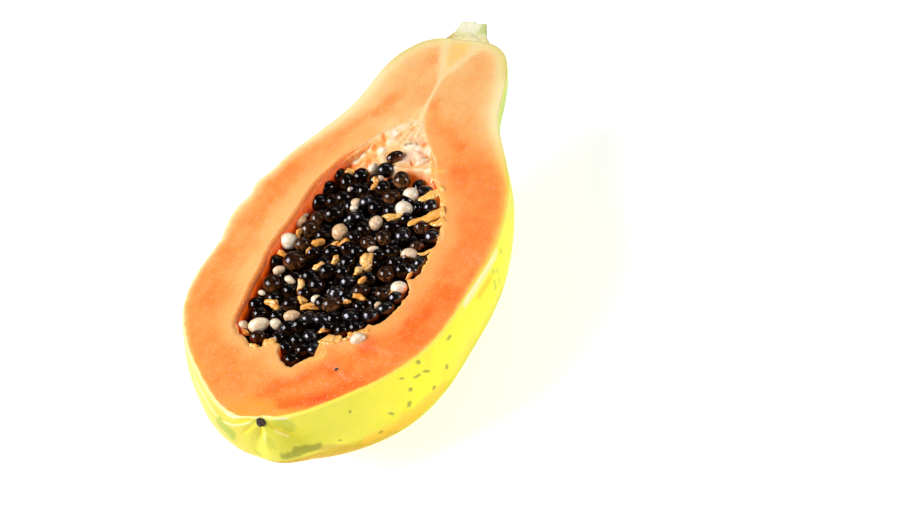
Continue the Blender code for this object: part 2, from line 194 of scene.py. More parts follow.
# Deeper orange streaks in the cut face, and paler ones: two ends (x, y), half width, strength.
STREAKS = (
    (3.4, 132.0, 16.0, 125.0, 3.6, 0.8), (-0.2, 139.5, 6.0, 129.0, 2.0, 0.6),
    (1.2, 142.0, 3.6, 133.0, 1.3, 0.8), (12.0, 118.0, 19.0, 108.0, 3.6, 0.35),
    (-14.5, 140.1, -17.0, 133.0, 2.2, 0.6), (-13.0, 146.0, -14.5, 141.0, 1.8, 0.3),
    (-8.0, 133.0, -5.5, 130.5, 1.8, 0.5), (8.3, 166.1, 11.0, 160.5, 2.6, 0.4),
    (-9.6, 166.0, -7.4, 160.5, 1.6, 0.45), (13.4, 159.8, 14.0, 156.0, 1.6, 0.35),
    (5.4, 18.6, -3.8, 8.5, 2.4, 0.7), (4.0, 5.6, 15.7, 11.6, 2.3, 0.72),
    (16.3, 12.8, 30.0, 25.0, 2.6, 0.35), (20.3, 34.6, 22.0, 37.5, 1.8, 0.8),
    (25.6, 50.6, 27.5, 53.5, 1.5, 0.6), (31.0, 44.0, 38.0, 62.0, 3.2, 0.35),
    (-36.0, 40.0, -41.0, 62.0, 3.2, 0.3), (-38.5, 78.0, -34.0, 104.0, 2.8, 0.4),
    (-27.0, 122.0, -19.0, 133.0, 2.0, 0.45), (-31.0, 55.0, -29.0, 100.0, 3.6, -0.7),
    (17.0, 33.5, 24.5, 32.5, 1.8, 0.45), (11.0, 24.0, 14.5, 22.5, 1.6, 0.4),
    (18.0, 160.0, 19.5, 140.0, 2.4, -0.4),
)

# Pulp that lies on the cut face along the cavity's edge: two pixels, half width in millimetres. The
# first rows are lumpy.
LUMPY_ROWS = 4
EDGE_PULP = (
    (321, 342, 341, 338, 1.6), (347, 337, 364, 331, 1.4), (264, 344, 281, 340, 1.4),
    (248, 341, 254, 347, 0.9), (318, 345, 324, 352, 1.2), (394, 312, 402, 303, 1.0),
    (421, 269, 430, 253, 1.2), (438, 214, 443, 226, 1.4), (438, 192, 442, 203, 1.6),
    (396, 167, 440, 171, 1.5), (300, 362, 322, 357, 1.0),
)

# Scuffs on the cut face, painted a little paler and thick with painted glints where the wet grain glistens:
# two pixels, half width in millimetres, strength.
SCUFFS_AND_GLINTS = (
    (339, 373, 350, 381, 0.7, 1.0), (362, 345, 376, 349, 1.3, 0.7), (376, 349, 392, 355, 0.8, 1.0),
    (327, 363, 334, 368, 1.0, 0.8), (333, 340, 343, 344, 1.0, 0.9), (480, 258, 470, 252, 1.0, 0.6),
    (462, 252, 474, 266, 0.8, 0.7),
)

# Marks on the skin, each read off the picture between two pixels: x, y, x, y, half width, strength.
# The last table holds them all by name, with how ragged they are.
GREEN_PATCHES = (
    (219, 423, 230, 434, 2.6, 1.0), (281, 421, 290, 428, 2.2, 0.4), (264, 438, 270, 444, 2.0, 0.35),
    (254, 455, 259, 457, 0.8, 0.6), (501, 250, 502, 253, 0.6, 0.5), (493, 271, 494, 273, 0.5, 0.6),
    (497, 270, 498, 272, 0.4, 0.5), (494, 282, 495, 288, 0.6, 0.6), (499, 279, 500, 282, 0.4, 0.4),
)
OLIVE_PATCHES = (
    (285, 456, 298, 452, 1.6, 0.9), (296, 451, 318, 447, 1.6, 0.9),
)
BROWN_PATCHES = (
    (322, 447, 346, 447, 1.3, 0.6),
)
BLUSH_PATCHES = (
    (405, 420, 440, 392, 4.5, 0.55), (372, 438, 405, 420, 3.5, 0.4), (448, 372, 470, 345, 4.0, 0.25),
)
SPECKS = (
    (447, 339, 449, 336, 0.7), (419, 361, 420, 362, 0.35), (426, 372, 428, 371, 0.4),
    (417, 377, 418, 376, 0.35), (446, 368, 447, 366, 0.4), (433, 389, 434, 387, 0.35),
    (408, 405, 410, 403, 0.5), (410, 390, 410, 389, 0.3), (401, 379, 401, 378, 0.35),
    (391, 414, 392, 413, 0.4), (380, 433, 381, 432, 0.35), (339, 441, 341, 440, 0.35),
    (350, 411, 350, 412, 0.25),
)
SKIN_MARKS = {
    "blush": (BLUSH_PATCHES, 0.8),
    "green": (GREEN_PATCHES, 1.0),
    "olive": (OLIVE_PATCHES, 1.0),
    "brown": (BROWN_PATCHES, 1.0),
    "speck": (tuple((*row, 1.0) for row in SPECKS), 0.6),
}


def srgb(red, green, blue):
    """A colour as a screen shows it, 0 to 255, in the linear values that shaders take."""
    parts = np.array([red, green, blue]) / 255.0
    linear = np.where(parts <= 0.04045, parts / 12.92, ((parts + 0.055) / 1.055) ** 2.4)
    return tuple(float(part) for part in linear)


def rise(value, low, high):
    """0 below low, 1 above high, and a smooth rise between them."""
    t = np.clip((np.asarray(value, float) - low) / (high - low), 0.0, 1.0)
    return t * t * (3.0 - 2.0 * t)


def fall(value, low, high):
    """1 below low, 0 above high, and a smooth fall between them."""
    return 1.0 - rise(value, low, high)


def lengths(vectors):
    """The length of each vector."""
    return np.linalg.norm(vectors, axis=1)


def flattened(points):
    """The points moved to the height of the cut face."""
    return np.column_stack([points[:, :2], np.zeros(len(points))])


def add_object(name, data):
    """A new object in the scene."""
    found = bpy.data.objects.new(name, data)
    bpy.context.scene.collection.objects.link(found)
    return found


def spline(knots, at):
    """A natural cubic spline through evenly spaced knots, read at positions counted in knots."""
    knots = np.asarray(knots, float)
    at = np.asarray(at, float)
    count = len(knots)
    system = np.eye(count)
    bends = np.zeros_like(knots)
    for i in range(1, count - 1):
        system[i, i - 1 : i + 2] = (1.0, 4.0, 1.0)
        bends[i] = 6.0 * (knots[i - 1] - 2.0 * knots[i] + knots[i + 1])
    bends = np.linalg.solve(system, bends)
    first = np.clip(at.astype(int), 0, count - 2)
    t = (at - first)[:, None]
    straight = (1.0 - t) * knots[first] + t * knots[first + 1]
    curved = ((1.0 - t) ** 3 - (1.0 - t)) * bends[first] + (t**3 - t) * bends[first + 1]
    return straight + curved / 6.0


def rows_between(sections, rows_per_section):
    """The rows of a table and the smooth rows between them, without the first and the last."""
    steps = np.arange(1, (len(sections) - 1) * rows_per_section) / rows_per_section
    return spline(sections, steps)


def to_world(points):
    """Fruit coordinates in millimetres to the frame's metres."""
    shift = np.array([-REST_POINT[0], -REST_POINT[1], CUT_HEIGHT])
    return (np.asarray(points, float) + shift) * MM


def noise_at(points, size, octaves=1, shift=0.0):
    """Smooth noise from about -1 to 1, with forms about this many millimetres wide."""
    moved = np.asarray(points, float) / size + shift
    if octaves == 1:
        return np.array([noise.noise(point) for point in moved])
    return np.array([noise.fractal(point, 1.0, 2.0, octaves) for point in moved])


def pixels_of(points):
    """Where the camera sees fruit points, in pixels from the picture's top left."""
    away = np.asarray(points, float) - CAMERA_PLACE
    depth = -(away @ CAMERA_BACK)
    across = PICTURE[0] / 2 + FOCAL_PIXELS * (away @ CAMERA_RIGHT) / depth
    down = PICTURE[1] / 2 - FOCAL_PIXELS * (away @ CAMERA_UP) / depth
    return np.stack([across, down], axis=-1)


def pixel_ray(pixel):
    """The direction in which the camera looks at a pixel."""
    right = (pixel[0] - PICTURE[0] / 2) / FOCAL_PIXELS
    up = (PICTURE[1] / 2 - pixel[1]) / FOCAL_PIXELS
    ray = CAMERA_RIGHT * right + CAMERA_UP * up - CAMERA_BACK
    return ray / np.linalg.norm(ray)


def at_height(pixel, height):
    """The fruit point at a pixel that lies at this height."""
    ray = pixel_ray(pixel)
    return CAMERA_PLACE + ray * (height - CAMERA_PLACE[2]) / ray[2]


def segment_distance(points, start, end):
    """The distance of each point from the line between two others, and how far along it is."""
    start, end = np.asarray(start, float), np.asarray(end, float)
    along = end - start
    share = np.clip((points - start) @ along / max(along @ along, 1e-9), 0.0, 1.0)
    return lengths(points - (start + share[:, None] * along)), share


def new_piece(name, points, faces, materials, face_materials=None, attributes=None):
    """A smooth mesh from fruit points and faces, with float attributes on its points."""
    mesh = bpy.data.meshes.new(name)
    mesh.from_pydata(to_world(points).tolist(), [], [list(face) for face in faces])
    for worn in materials:
        mesh.materials.append(worn)
    if face_materials is not None:
        mesh.polygons.foreach_set("material_index", np.asarray(face_materials, np.int32))
    for label, values in (attributes or {}).items():
        attribute = mesh.attributes.new(label, "FLOAT", "POINT")
        attribute.data.foreach_set("value", np.asarray(values, np.float32))
    mesh.shade_smooth()
    mesh.update()
    return add_object(name, mesh)


def sheet(index):
    """The faces between neighbouring rows of point numbers."""
    faces = []
    for one, other in zip(index, index[1:]):
        faces += zip(one, one[1:], other[1:], other)
    return faces


def band(one, other, turned=False):
    """The faces between two rings of point numbers."""
    next_one, next_other = np.roll(one, -1), np.roll(other, -1)
    if turned:
        return list(zip(one, other, next_other, next_one))
    return list(zip(one, next_one, next_other, other))


def fan_out(ring, middle):
    """The faces between a ring of point numbers and one point."""
    return [(a, b, middle) for a, b in zip(ring, np.roll(ring, -1))]


def face_out(piece, merge=0.0):
    """Joins points that are closer than this many millimetres, and turns all faces out."""
    form = bmesh.new()
    form.from_mesh(piece.data)
    if merge:
        bmesh.ops.remove_doubles(form, verts=form.verts, dist=merge * MM)
    bmesh.ops.recalc_face_normals(form, faces=form.faces)
    form.to_mesh(piece.data)
    form.free()
    return piece


def skin_row(section, columns):
    """One half section of the skin, from the left edge of the cut under the keel to the right."""
    left_x, left_y, keel_y, depth, right_x, right_y, left_bulge, right_bulge = section
    turn = np.linspace(0.0, math.pi, columns + 1)
    side = 0.5 - 0.5 * np.cos(turn)
    width = -left_x + (right_x + left_x) * side
    bulge = left_bulge + (right_bulge - left_bulge) * side
    edge_y = left_y + (right_y - left_y) * side
    x = -width * np.cos(turn) - bulge * np.sin(2.0 * turn)
    y = edge_y + (keel_y - edge_y) * np.sin(turn) ** 2
    z = -depth * np.sin(turn)
    return np.stack([x, y, z], axis=1)


def lobed(points):
    """Presses the furrows between the lobes of the blossom end into skin points."""
    x, y, z = points.T
    reach = lengths(points)
    turn = np.arctan2(-z, x)
    wave = 0.5 + 0.5 * np.cos(LOBE_COUNT * (turn - math.radians(LOBE_TURN)))
    start = rise(reach, 1.0, 7.0) * rise(-z, 0.0, 3.0)
    depth = LOBE_DEPTH * wave**3 * start * np.exp(-((reach / LOBE_FADE) ** 2))
    inward = np.array(LOBE_CENTRE) - points
    inward /= lengths(inward)[:, None]
    return points + inward * depth[:, None]


def cavity_rows():
    """The table of the cavity in fine steps."""
    ends = np.array([CAVITY_SECTIONS[0], CAVITY_SECTIONS[-1]])
    return np.vstack([ends[:1], rows_between(CAVITY_SECTIONS, 24), ends[1:]])


CAVITY_ROWS = cavity_rows()


def cavity_edge():
    """Angles round the cavity's centre, and how far out its edge is met first in each direction."""
    start = np.array([at_height(pixel, 0.0)[:2] for pixel in EDGE_PIXELS]) - CAVITY_CENTRE
    along = np.roll(start, -1, axis=0) - start
    angles = np.linspace(-math.pi, math.pi, EDGE_STEPS)
    ray_x, ray_y = np.cos(angles)[:, None], np.sin(angles)[:, None]
    slant = ray_x * along[:, 1] - ray_y * along[:, 0]
    slant = np.where(np.abs(slant) < 1e-9, 1e-9, slant)
    length = (start[:, 0] * along[:, 1] - start[:, 1] * along[:, 0]) / slant
    share = (start[:, 0] * ray_y - start[:, 1] * ray_x) / slant
    met = (length > 0.0) & (share >= 0.0) & (share <= 1.0)
    return angles, np.where(met, length, np.inf).min(axis=1)


EDGE_ANGLES, EDGE_LENGTHS = cavity_edge()


def edge_length(away):
    """How far the cavity's edge is from its centre in the direction of each point."""
    angles = np.arctan2(away[:, 1], away[:, 0])
    return np.interp(angles, EDGE_ANGLES, EDGE_LENGTHS, period=2.0 * math.pi)


def cavity_height(points):
    """The height of the cavity's wall or floor under points (x, y)."""
    y = np.clip(points[:, 1], CAVITY_ROWS[0, 0], CAVITY_ROWS[-1, 0])
    left, right, depth = (np.interp(y, CAVITY_ROWS[:, 0], CAVITY_ROWS[:, i]) for i in (1, 2, 3))
    half = np.maximum((right - left) / 2.0, 0.01)
    across = np.clip(np.abs(points[:, 0] - (left + right) / 2.0) / half, 0.0, 1.0)
    return -depth * (1.0 - across**CAVITY_SQUARENESS) ** (1.0 / CAVITY_SQUARENESS)


def heap_height(points):
    """The height of the middles of the top seeds."""
    away = points[:, :2] - CAVITY_CENTRE
    share = np.hypot(*away.T) / edge_length(away)
    return HEAP_TOP - HEAP_FALL * share**2 + HEAP_TILT * points[:, 0]


def on_heap(pixel, above=0.0):
    """The fruit point at a pixel that lies this far above the middles of the top seeds."""
    point = at_height(pixel, HEAP_TOP)
    for _ in range(HEAP_STEPS):
        point = at_height(pixel, heap_height(point[None])[0] + above)
    return point


def inward_normals(loop):
    """Unit vectors in the cut face that point into a loop that runs clockwise seen from above."""
    along = np.roll(loop, -1, axis=0) - np.roll(loop, 1, axis=0)
    normals = np.column_stack([along[:, 1], -along[:, 0]])
    return normals / np.hypot(*normals.T)[:, None]


def loop_distance(points, loop):
    """The distance of each point (x, y) from the nearest point of a loop."""
    nearest = np.full(len(points), np.inf)
    for start in range(0, len(loop), 60):
        part = loop[start : start + 60]
        gaps = np.linalg.norm(points[:, None] - part[None], axis=2)
        nearest = np.minimum(nearest, gaps.min(axis=1))
    return nearest


def on_skin(pixel, points, normals):
    """The skin point that the camera sees at a pixel."""
    gaps = lengths(pixels_of(points) - np.array(pixel, float))
    gaps[normals @ CAMERA_BACK < 0.05] = np.inf
    return points[gaps.argmin()]


def marks_on_skin(rows, points, normals, ragged):
    """How strongly each skin point is marked by patches read off the picture."""
    found = np.zeros(len(points))
    for x0, y0, x1, y1, half_width, strength in rows:
        start, end = on_skin((x0, y0), points, normals), on_skin((x1, y1), points, normals)
        distance, _ = segment_distance(points, start, end)
        edge = distance / half_width + ragged
        found = np.maximum(found, strength * fall(edge, 0.6, 1.3))
    return found


def line_distance(points, line):
    """The distance of each point from a line through several others."""
    return np.min([segment_distance(points, one, other)[0] for one, other in zip(line, line[1:])], axis=0)


def skin_lines(points, normals):
    """How deep the creases press each skin point in, how pale they make it, and how much painted golden shade
    they lay in it.
    """
    depth, pale, crease_shade = (np.zeros(len(points)) for _ in range(3))
    for pixels, half_width, deepest, tint in SKIN_LINES:
        line = [on_skin(pixel, points, normals) for pixel in pixels]
        first, last = np.array(line[0]), np.array(line[-1])
        fade = rise(lengths(points - last), 0.0, 3.0)
        fade *= 0.4 + 0.6 * rise(lengths(points - first), 0.0, 2.0)
        near = np.exp(-((line_distance(points, line) / half_width) ** 2)) * fade
        depth += deepest * near
        pale = np.maximum(pale, tint * near)
        crease_shade = np.maximum(crease_shade, -tint * near)
    return depth, pale, crease_shade


def path_mask(points, rows, soft=1.0):
    """1 on a path of (x, y, half width) and 0 away from it."""
    found = np.zeros(len(points))
    for one, other in zip(rows, rows[1:]):
        distance, share = segment_distance(points, one[:2], other[:2])
        width = one[2] + (other[2] - one[2]) * share
        found = np.maximum(found, fall(distance / width, 1.0 - 0.6 * soft, 1.0 + 0.6 * soft))
    return found


def cut_relief(points):
    """Low waves of the cut face."""
    flat = flattened(points)
    return 0.09 * noise_at(flat, 11.0, shift=3.1) + 0.03 * noise_at(flat, 2.4, shift=7.7)


def make_skin():
    """The skin as a grid of points, with how pale its lines are and how much painted golden shade lies in its
    creases.
    """
    sections = rows_between(SKIN_SECTIONS, ROWS_PER_SECTION)
    grid = np.array([skin_row(section, SKIN_COLUMNS) for section in sections])
    skin = lobed(grid.reshape(-1, 3))
    out = skin - np.array([0.0, FRUIT_MIDDLE, 0.0])
    out[:, 1] *= 0.45
    out /= lengths(out)[:, None]
    waves = 0.22 * noise_at(skin, 13.0, shift=1.3) + 0.05 * noise_at(skin, 3.5, shift=5.0)
    skin = skin + out * waves[:, None]
    high = np.exp(skin[:, 2] / 6.0) * (skin[:, 0] < 0.0)
    for place, deep, half_width in EDGE_WAVES:
        skin[:, 0] += deep * high * np.exp(-(((skin[:, 1] - place) / half_width) ** 2))
    pressed, pale, crease_shade = skin_lines(skin, out)
    skin = skin - out * pressed[:, None]
    skin[:, 2] = np.maximum(np.minimum(skin[:, 2], -LIP), -CUT_HEIGHT)
    skin = skin.reshape(grid.shape)
    skin[:, [0, -1], 2] = -LIP
    return skin, pale, crease_shade


def cut_rings(rim):
    """Rings of points over the lip and the cut face, then down the cavity's wall and floor."""
    inward = inward_normals(rim[:, :2])
    rings = []
    for inset, climb in LIP_RINGS:
        rings.append(np.column_stack([rim[:, :2] + inward * inset, np.full(len(rim), -LIP * climb)]))
    edge_top = rings[-1][:, :2].copy()
    rings[-1][:, 2] += cut_relief(rings[-1])

    away = edge_top - CAVITY_CENTRE
    length = edge_length(away)
    ray = away / np.hypot(*away.T)[:, None]
    at_edge = CAVITY_CENTRE + ray * length[:, None]
    flat = flattened(at_edge)
    left_side = rise(-at_edge[:, 0], 4.0, 14.0) * fall(at_edge[:, 1], 108.0, 122.0)
    at_web = rise(at_edge[:, 1], 112.0, 119.0)
    torn = (0.22 + 0.3 * rise(at_edge[:, 0], -6.0, 8.0)) * noise_at(flat, 1.6, octaves=3, shift=2.0)
    cavity_ring = at_edge + ray * torn[:, None]
    for step in range(1, FACE_RINGS + 1):
        share = step / FACE_RINGS
        share = 0.5 * share + 0.5 * share * share * (3.0 - 2.0 * share)
        ring = edge_top + (cavity_ring - edge_top) * share
        near = lengths(ring - cavity_ring)
        height = cut_relief(ring) - (0.5 - 0.38 * at_web) * np.exp(-near / 0.45)
        rough = noise_at(np.column_stack([ring, height]), 1.3, octaves=2, shift=3.3)
        height = height - BEVEL_DEPTH * left_side * np.exp(-((near / BEVEL_WIDTH) ** 2)) * (1.0 + 0.3 * rough)
        rings.append(np.column_stack([ring, height]))

    steps = [(1.0 - (step / WALL_RINGS * 0.86) ** 4) ** 0.25 for step in range(1, WALL_RINGS + 1)]
    steps += [steps[-1] * (1.0 - step / FLOOR_RINGS) for step in range(1, FLOOR_RINGS)]
    for share in steps:
        ring = CAVITY_CENTRE + ray * (length * share)[:, None]
        height = np.minimum(cavity_height(ring), -0.55)
        wall = np.column_stack([ring, height])
        rough = 0.5 * noise_at(wall, 3.2, octaves=3, shift=4.0)
        rough = rough + 0.35 * noise_at(wall * (1, 1, 0.3), 6.0, shift=6.0)
        keep = np.exp(height / 2.5) * torn
        wall[:, :2] += ray * ((rough * 0.8 + keep) * rise(share, 0.0, 0.5))[:, None]
        wall[:, 2] += 0.5 * rough * rise(-height, 0.6, 3.0)
        rings.append(wall)
    return rings, cavity_ring


def make_fruit(peel, flesh):
    """Peel, flesh and cavity as one closed mesh."""
    grid, pale, crease_shade = make_skin()
    rows, columns = grid.shape[:2]
    first_at, last_at = rows * columns, rows * columns + 1
    ends = [(*SKIN_SECTIONS[end][:2], -LIP) for end in (0, -1)]
    skin = np.vstack([grid.reshape(-1, 3), ends])
    index = np.arange(rows * columns).reshape(rows, columns)
    faces = sheet(index)
    faces += [(first_at, b, a) for a, b in zip(index[0], index[0][1:])]
    faces += [(last_at, a, b) for a, b in zip(index[-1], index[-1][1:])]
    face_materials = [0] * len(faces)

    previous = np.concatenate([[first_at], index[:, 0], [last_at], index[::-1, -1]])
    rim = skin[previous]
    count = len(rim)
    rings, cavity_ring = cut_rings(rim)
    for number in range(len(rings)):
        current = len(skin) + number * count + np.arange(count)
        faces += band(previous, current)
        face_materials += [0 if number < len(LIP_RINGS) - 1 else 1] * count
        previous = current
    middle = [(*CAVITY_CENTRE, cavity_height(CAVITY_CENTRE[None])[0])]
    points = np.vstack([skin, *rings, middle])
    faces += fan_out(previous, len(points) - 1)
    face_materials += [1] * count

    face_count = count * (len(LIP_RINGS) + FACE_RINGS)
    attributes = fruit_attributes(points, len(skin), rim, cavity_ring, face_count)
    for label, values in (("pale", pale), ("crease_shade", crease_shade)):
        attributes[label] = np.concatenate([values, np.zeros(len(points) - len(values))])
    outward = [face[::-1] for face in faces]
    return new_piece("fruit", points, outward, (peel, flesh), face_materials, attributes)


def pixel_row(row):
    """The cut face's points under the two pixels that a table's row starts with."""
    return at_height(row[:2], 0.0)[:2], at_height(row[2:4], 0.0)[:2]


def fruit_attributes(points, skin_count, rim, cavity_ring, face_count):
    """The measures and masks that the two materials of the fruit read."""
    total = len(points)
    face = slice(skin_count, skin_count + face_count)
    wall = slice(face.stop, total)
    inside = points[:, :2]
    x, y, z = points.T
    found = {}

    rim_mm, hollow_mm = np.full(total, FAR_AWAY), np.full(total, FAR_AWAY)
    rim_mm[face] = loop_distance(inside[face], rim[:, :2])
    rim_mm[:skin_count] = 0.0
    hollow_mm[face] = loop_distance(inside[face], cavity_ring)
    hollow_mm[wall] = np.minimum(z[wall], 0.0)

    wavy = inside + 0.5 * np.column_stack([noise_at(points, 5.0, shift=shift) for shift in (2.2, 8.2)])
    forks = [0.92 * path_mask(wavy, rows, soft=1.5) for rows in (FORK_LEFT, FORK_RIGHT, FORK_TOP)]
    found["strand"] = np.max([path_mask(wavy, STRAND), *forks], axis=0)
    found["fan"] = path_mask(wavy, FAN)
    found["wedge"] = path_mask(wavy, WEDGE, soft=0.6)

    edge_pulp, scuff = np.zeros(total), np.zeros(total)
    torn = 0.5 * noise_at(points, 1.4, octaves=2, shift=6.0)
    for row in EDGE_PULP:
        distance, _ = segment_distance(inside, *pixel_row(row))
        edge_pulp = np.maximum(edge_pulp, fall(distance / row[4] + torn, 0.5, 1.3))
    for row in SCUFFS_AND_GLINTS:
        distance, _ = segment_distance(inside, *pixel_row(row))
        scuff = np.maximum(scuff, row[5] * fall(distance / row[4], 0.5, 1.4))
    found.update(edge_pulp=edge_pulp, scuff=scuff, web=rise(y, 108.0, 113.0) * rise(-z, 0.1, 0.9))
    for mask in found.values():
        mask[:skin_count] = 0.0

    bevel = rise(-x, 6.0, 14.0) * rise(y, 30.0, 40.0) * fall(y, 108.0, 118.0) * fall(hollow_mm, 1.6, 2.8)
    deep = 0.3 * rise(x, -42.0, 40.0) + 0.15 * fall(y, 8.0, 60.0)
    deep += 0.18 * rise(x, 10.0, 24.0) * fall(y, 110.0, 135.0) - 0.95 * rise(y, 105.0, 145.0)
    ragged = 0.6 * noise_at(points, 6.0, octaves=3, shift=1.0)
    for x0, y0, x1, y1, half_width, strength in STREAKS:
        distance, _ = segment_distance(inside, (x0, y0), (x1, y1))
        deep += strength * np.exp(-((distance / half_width + ragged) ** 2) * 0.7)

    band_mm = 2.2 + 1.6 * rise(y, 50.0, 90.0) + 4.8 * rise(y, 105.0, 140.0) - 0.9 * fall(y, 14.0, 34.0)
    band_mm -= 0.6 * rise(x, 5.0, 25.0) * fall(y, 100.0, 130.0)
    golden = 0.85 * fall(np.hypot(x * 0.55, y - 1.0), 3.0, 11.0)
    golden += 0.55 * fall(rim_mm, 0.6, 3.4) * fall(y, 25.0, 60.0)
    found.update(rim_mm=rim_mm, hollow_mm=hollow_mm, bevel=bevel, deep=deep, band_mm=band_mm, golden=golden)
    found.update(stem_end=rise(y, 108.0, 140.0), tip=rise(y, 150.0, 160.0))

    skin = points[:skin_count]
    out = skin - np.array([0.0, 0.0, 4.0])
    out[:, 1] = (skin[:, 1] - FRUIT_MIDDLE) * 0.35
    out /= lengths(out)[:, None]
    ragged = 0.35 * noise_at(skin, 2.2, octaves=3, shift=3.0)
    for label, (rows, share) in SKIN_MARKS.items():
        found[label] = np.zeros(total)
        found[label][:skin_count] = marks_on_skin(rows, skin, out, share * ragged)
    return found


# The seeds that show, each read off the picture: x, y, length and width in millimetres, degrees of
# its long axis in the picture, and its kind: "c" in a clear coat, "b" in a brown coat, "n" naked.
SEEDS = (
    (395, 157, 6.2, 4.0, 30, "b"), (386, 170, 5.9, 5.0, 20, "n"), (340, 175, 5.0, 4.6, 80, "c"),
    (347, 181, 6.0, 4.8, 90, "c"), (361, 176, 5.9, 5.3, 60, "c"), (402, 180, 6.2, 5.9, 100, "b"),
    (328, 188, 5.9, 5.3, 40, "c"), (365, 191, 5.9, 4.9, 10, "c"), (383, 188, 5.3, 5.0, 60, "c"),
    (425, 191, 5.3, 3.4, 5, "n"), (344, 198, 5.9, 5.0, 20, "c"), (320, 202, 6.4, 5.6, 40, "c"),
    (392, 197, 6.0, 5.0, 5, "b"), (431, 207, 5.6, 5.2, 60, "n"), (418, 207, 4.4, 3.6, 80, "c"),
    (334, 214, 6.9, 5.6, 25, "c"), (318, 218, 5.4, 4.8, 60, "b"), (354, 218, 5.4, 4.4, 30, "n"),
    (367, 202, 5.2, 4.6, 50, "n"), (376, 208, 5.3, 5.0, 20, "c"), (407, 219, 5.2, 4.4, 10, "c"),
    (310, 229, 6.8, 6.0, 30, "b"), (392, 227, 5.9, 4.4, 10, "c"), (422, 227, 5.9, 5.0, 40, "b"),
    (433, 237, 5.8, 5.2, 20, "n"), (403, 236, 6.0, 5.4, 70, "n"), (384, 238, 5.6, 5.2, 50, "b"),
    (355, 238, 5.2, 5.0, 0, "c"), (368, 243, 4.9, 5.2, 80, "b"), (303, 244, 5.6, 5.0, 30, "b"),
    (313, 253, 5.0, 4.4, 20, "c"), (332, 252, 5.9, 5.0, 10, "c"), (347, 248, 4.8, 4.4, 20, "c"),
    (295, 261, 8.0, 6.6, 15, "b"), (417, 246, 4.6, 3.6, 10, "b"), (392, 252, 4.8, 4.4, 0, "c"),
    (379, 255, 4.8, 4.2, 20, "c"), (276, 262, 5.1, 4.9, 30, "c"), (310, 276, 5.9, 4.6, 10, "c"),
    (328, 271, 6.0, 5.2, 20, "c"), (317, 285, 6.0, 5.6, 50, "c"), (348, 262, 5.9, 5.4, 60, "c"),
    (403, 270, 5.9, 5.4, 20, "c"), (413, 271, 4.6, 4.6, 0, "n"), (386, 274, 5.6, 5.4, 80, "b"),
    (369, 278, 5.4, 4.6, 15, "c"), (273, 284, 6.8, 6.6, 70, "b"), (290, 291, 5.2, 4.9, 0, "c"),
    (348, 282, 5.6, 4.6, 25, "n"), (361, 291, 5.8, 4.8, 15, "b"), (383, 294, 5.5, 5.0, 30, "b"),
    (337, 294, 5.8, 5.2, 40, "n"), (257, 305, 5.9, 5.5, 30, "c"), (260, 314, 5.3, 4.6, 10, "c"),
    (291, 304, 6.2, 5.2, 15, "c"), (277, 316, 4.8, 4.2, 20, "c"), (332, 304, 7.0, 5.2, 15, "b"),
    (396, 298, 5.2, 4.6, 20, "n"), (386, 309, 5.8, 4.6, 25, "n"), (371, 316, 6.0, 5.4, 40, "n"),
    (351, 317, 5.4, 6.2, 80, "n"), (360, 307, 4.6, 5.0, 70, "c"), (309, 319, 5.4, 5.2, 30, "n"),
    (321, 320, 5.0, 5.6, 90, "n"), (334, 319, 5.8, 5.6, 45, "c"), (328, 328, 5.4, 4.6, 30, "c"),
    (289, 328, 6.0, 5.2, 30, "c"), (311, 337, 5.2, 5.4, 70, "n"), (297, 341, 5.2, 5.2, 0, "c"),
    (287, 348, 5.4, 5.8, 80, "c"), (303, 350, 5.4, 4.4, 20, "c"), (315, 350, 5.4, 5.0, 40, "n"),
    (292, 360, 5.8, 4.6, 10, "c"), (258, 337, 5.4, 4.6, 15, "b"), (300, 325, 6.0, 5.0, 20, "c"),
    (342, 330, 5.4, 5.0, 60, "c"), (356, 328, 5.2, 4.6, 10, "c"), (376, 221, 5.0, 4.6, 30, "c"),
    (364, 229, 5.2, 5.0, 60, "c"), (347, 228, 5.2, 4.6, 20, "c"), (391, 211, 5.4, 5.0, 50, "c"),
    (323, 236, 5.4, 5.0, 10, "c"), (357, 252, 5.2, 5.0, 40, "c"), (395, 263, 5.2, 4.8, 20, "c"),
    (325, 263, 5.0, 4.6, 70, "c"), (343, 272, 5.0, 4.8, 30, "c"), (304, 293, 5.0, 4.6, 50, "c"),
    (374, 303, 5.2, 4.8, 60, "c"), (348, 300, 5.2, 4.8, 20, "c"), (322, 303, 5.2, 4.8, 40, "c"),
    (274, 298, 5.0, 4.6, 40, "c"), (408, 258, 5.2, 4.8, 30, "c"), (420, 263, 4.6, 4.0, 60, "n"),
    (372, 263, 5.0, 4.6, 60, "c"), (279, 338, 4.8, 4.4, 40, "c"), (322, 345, 4.6, 4.2, 20, "n"),
    (376, 180, 5.0, 4.6, 40, "c"), (333, 201, 5.0, 4.6, 50, "c"), (356, 189, 5.0, 4.6, 20, "c"),
    (351, 207, 5.0, 4.8, 10, "c"), (407, 201, 5.0, 4.6, 60, "c"),
)

# A chip of seed on the cut face.
CHIP = (336.3, 369.4, 1.3, 0.7, 48)

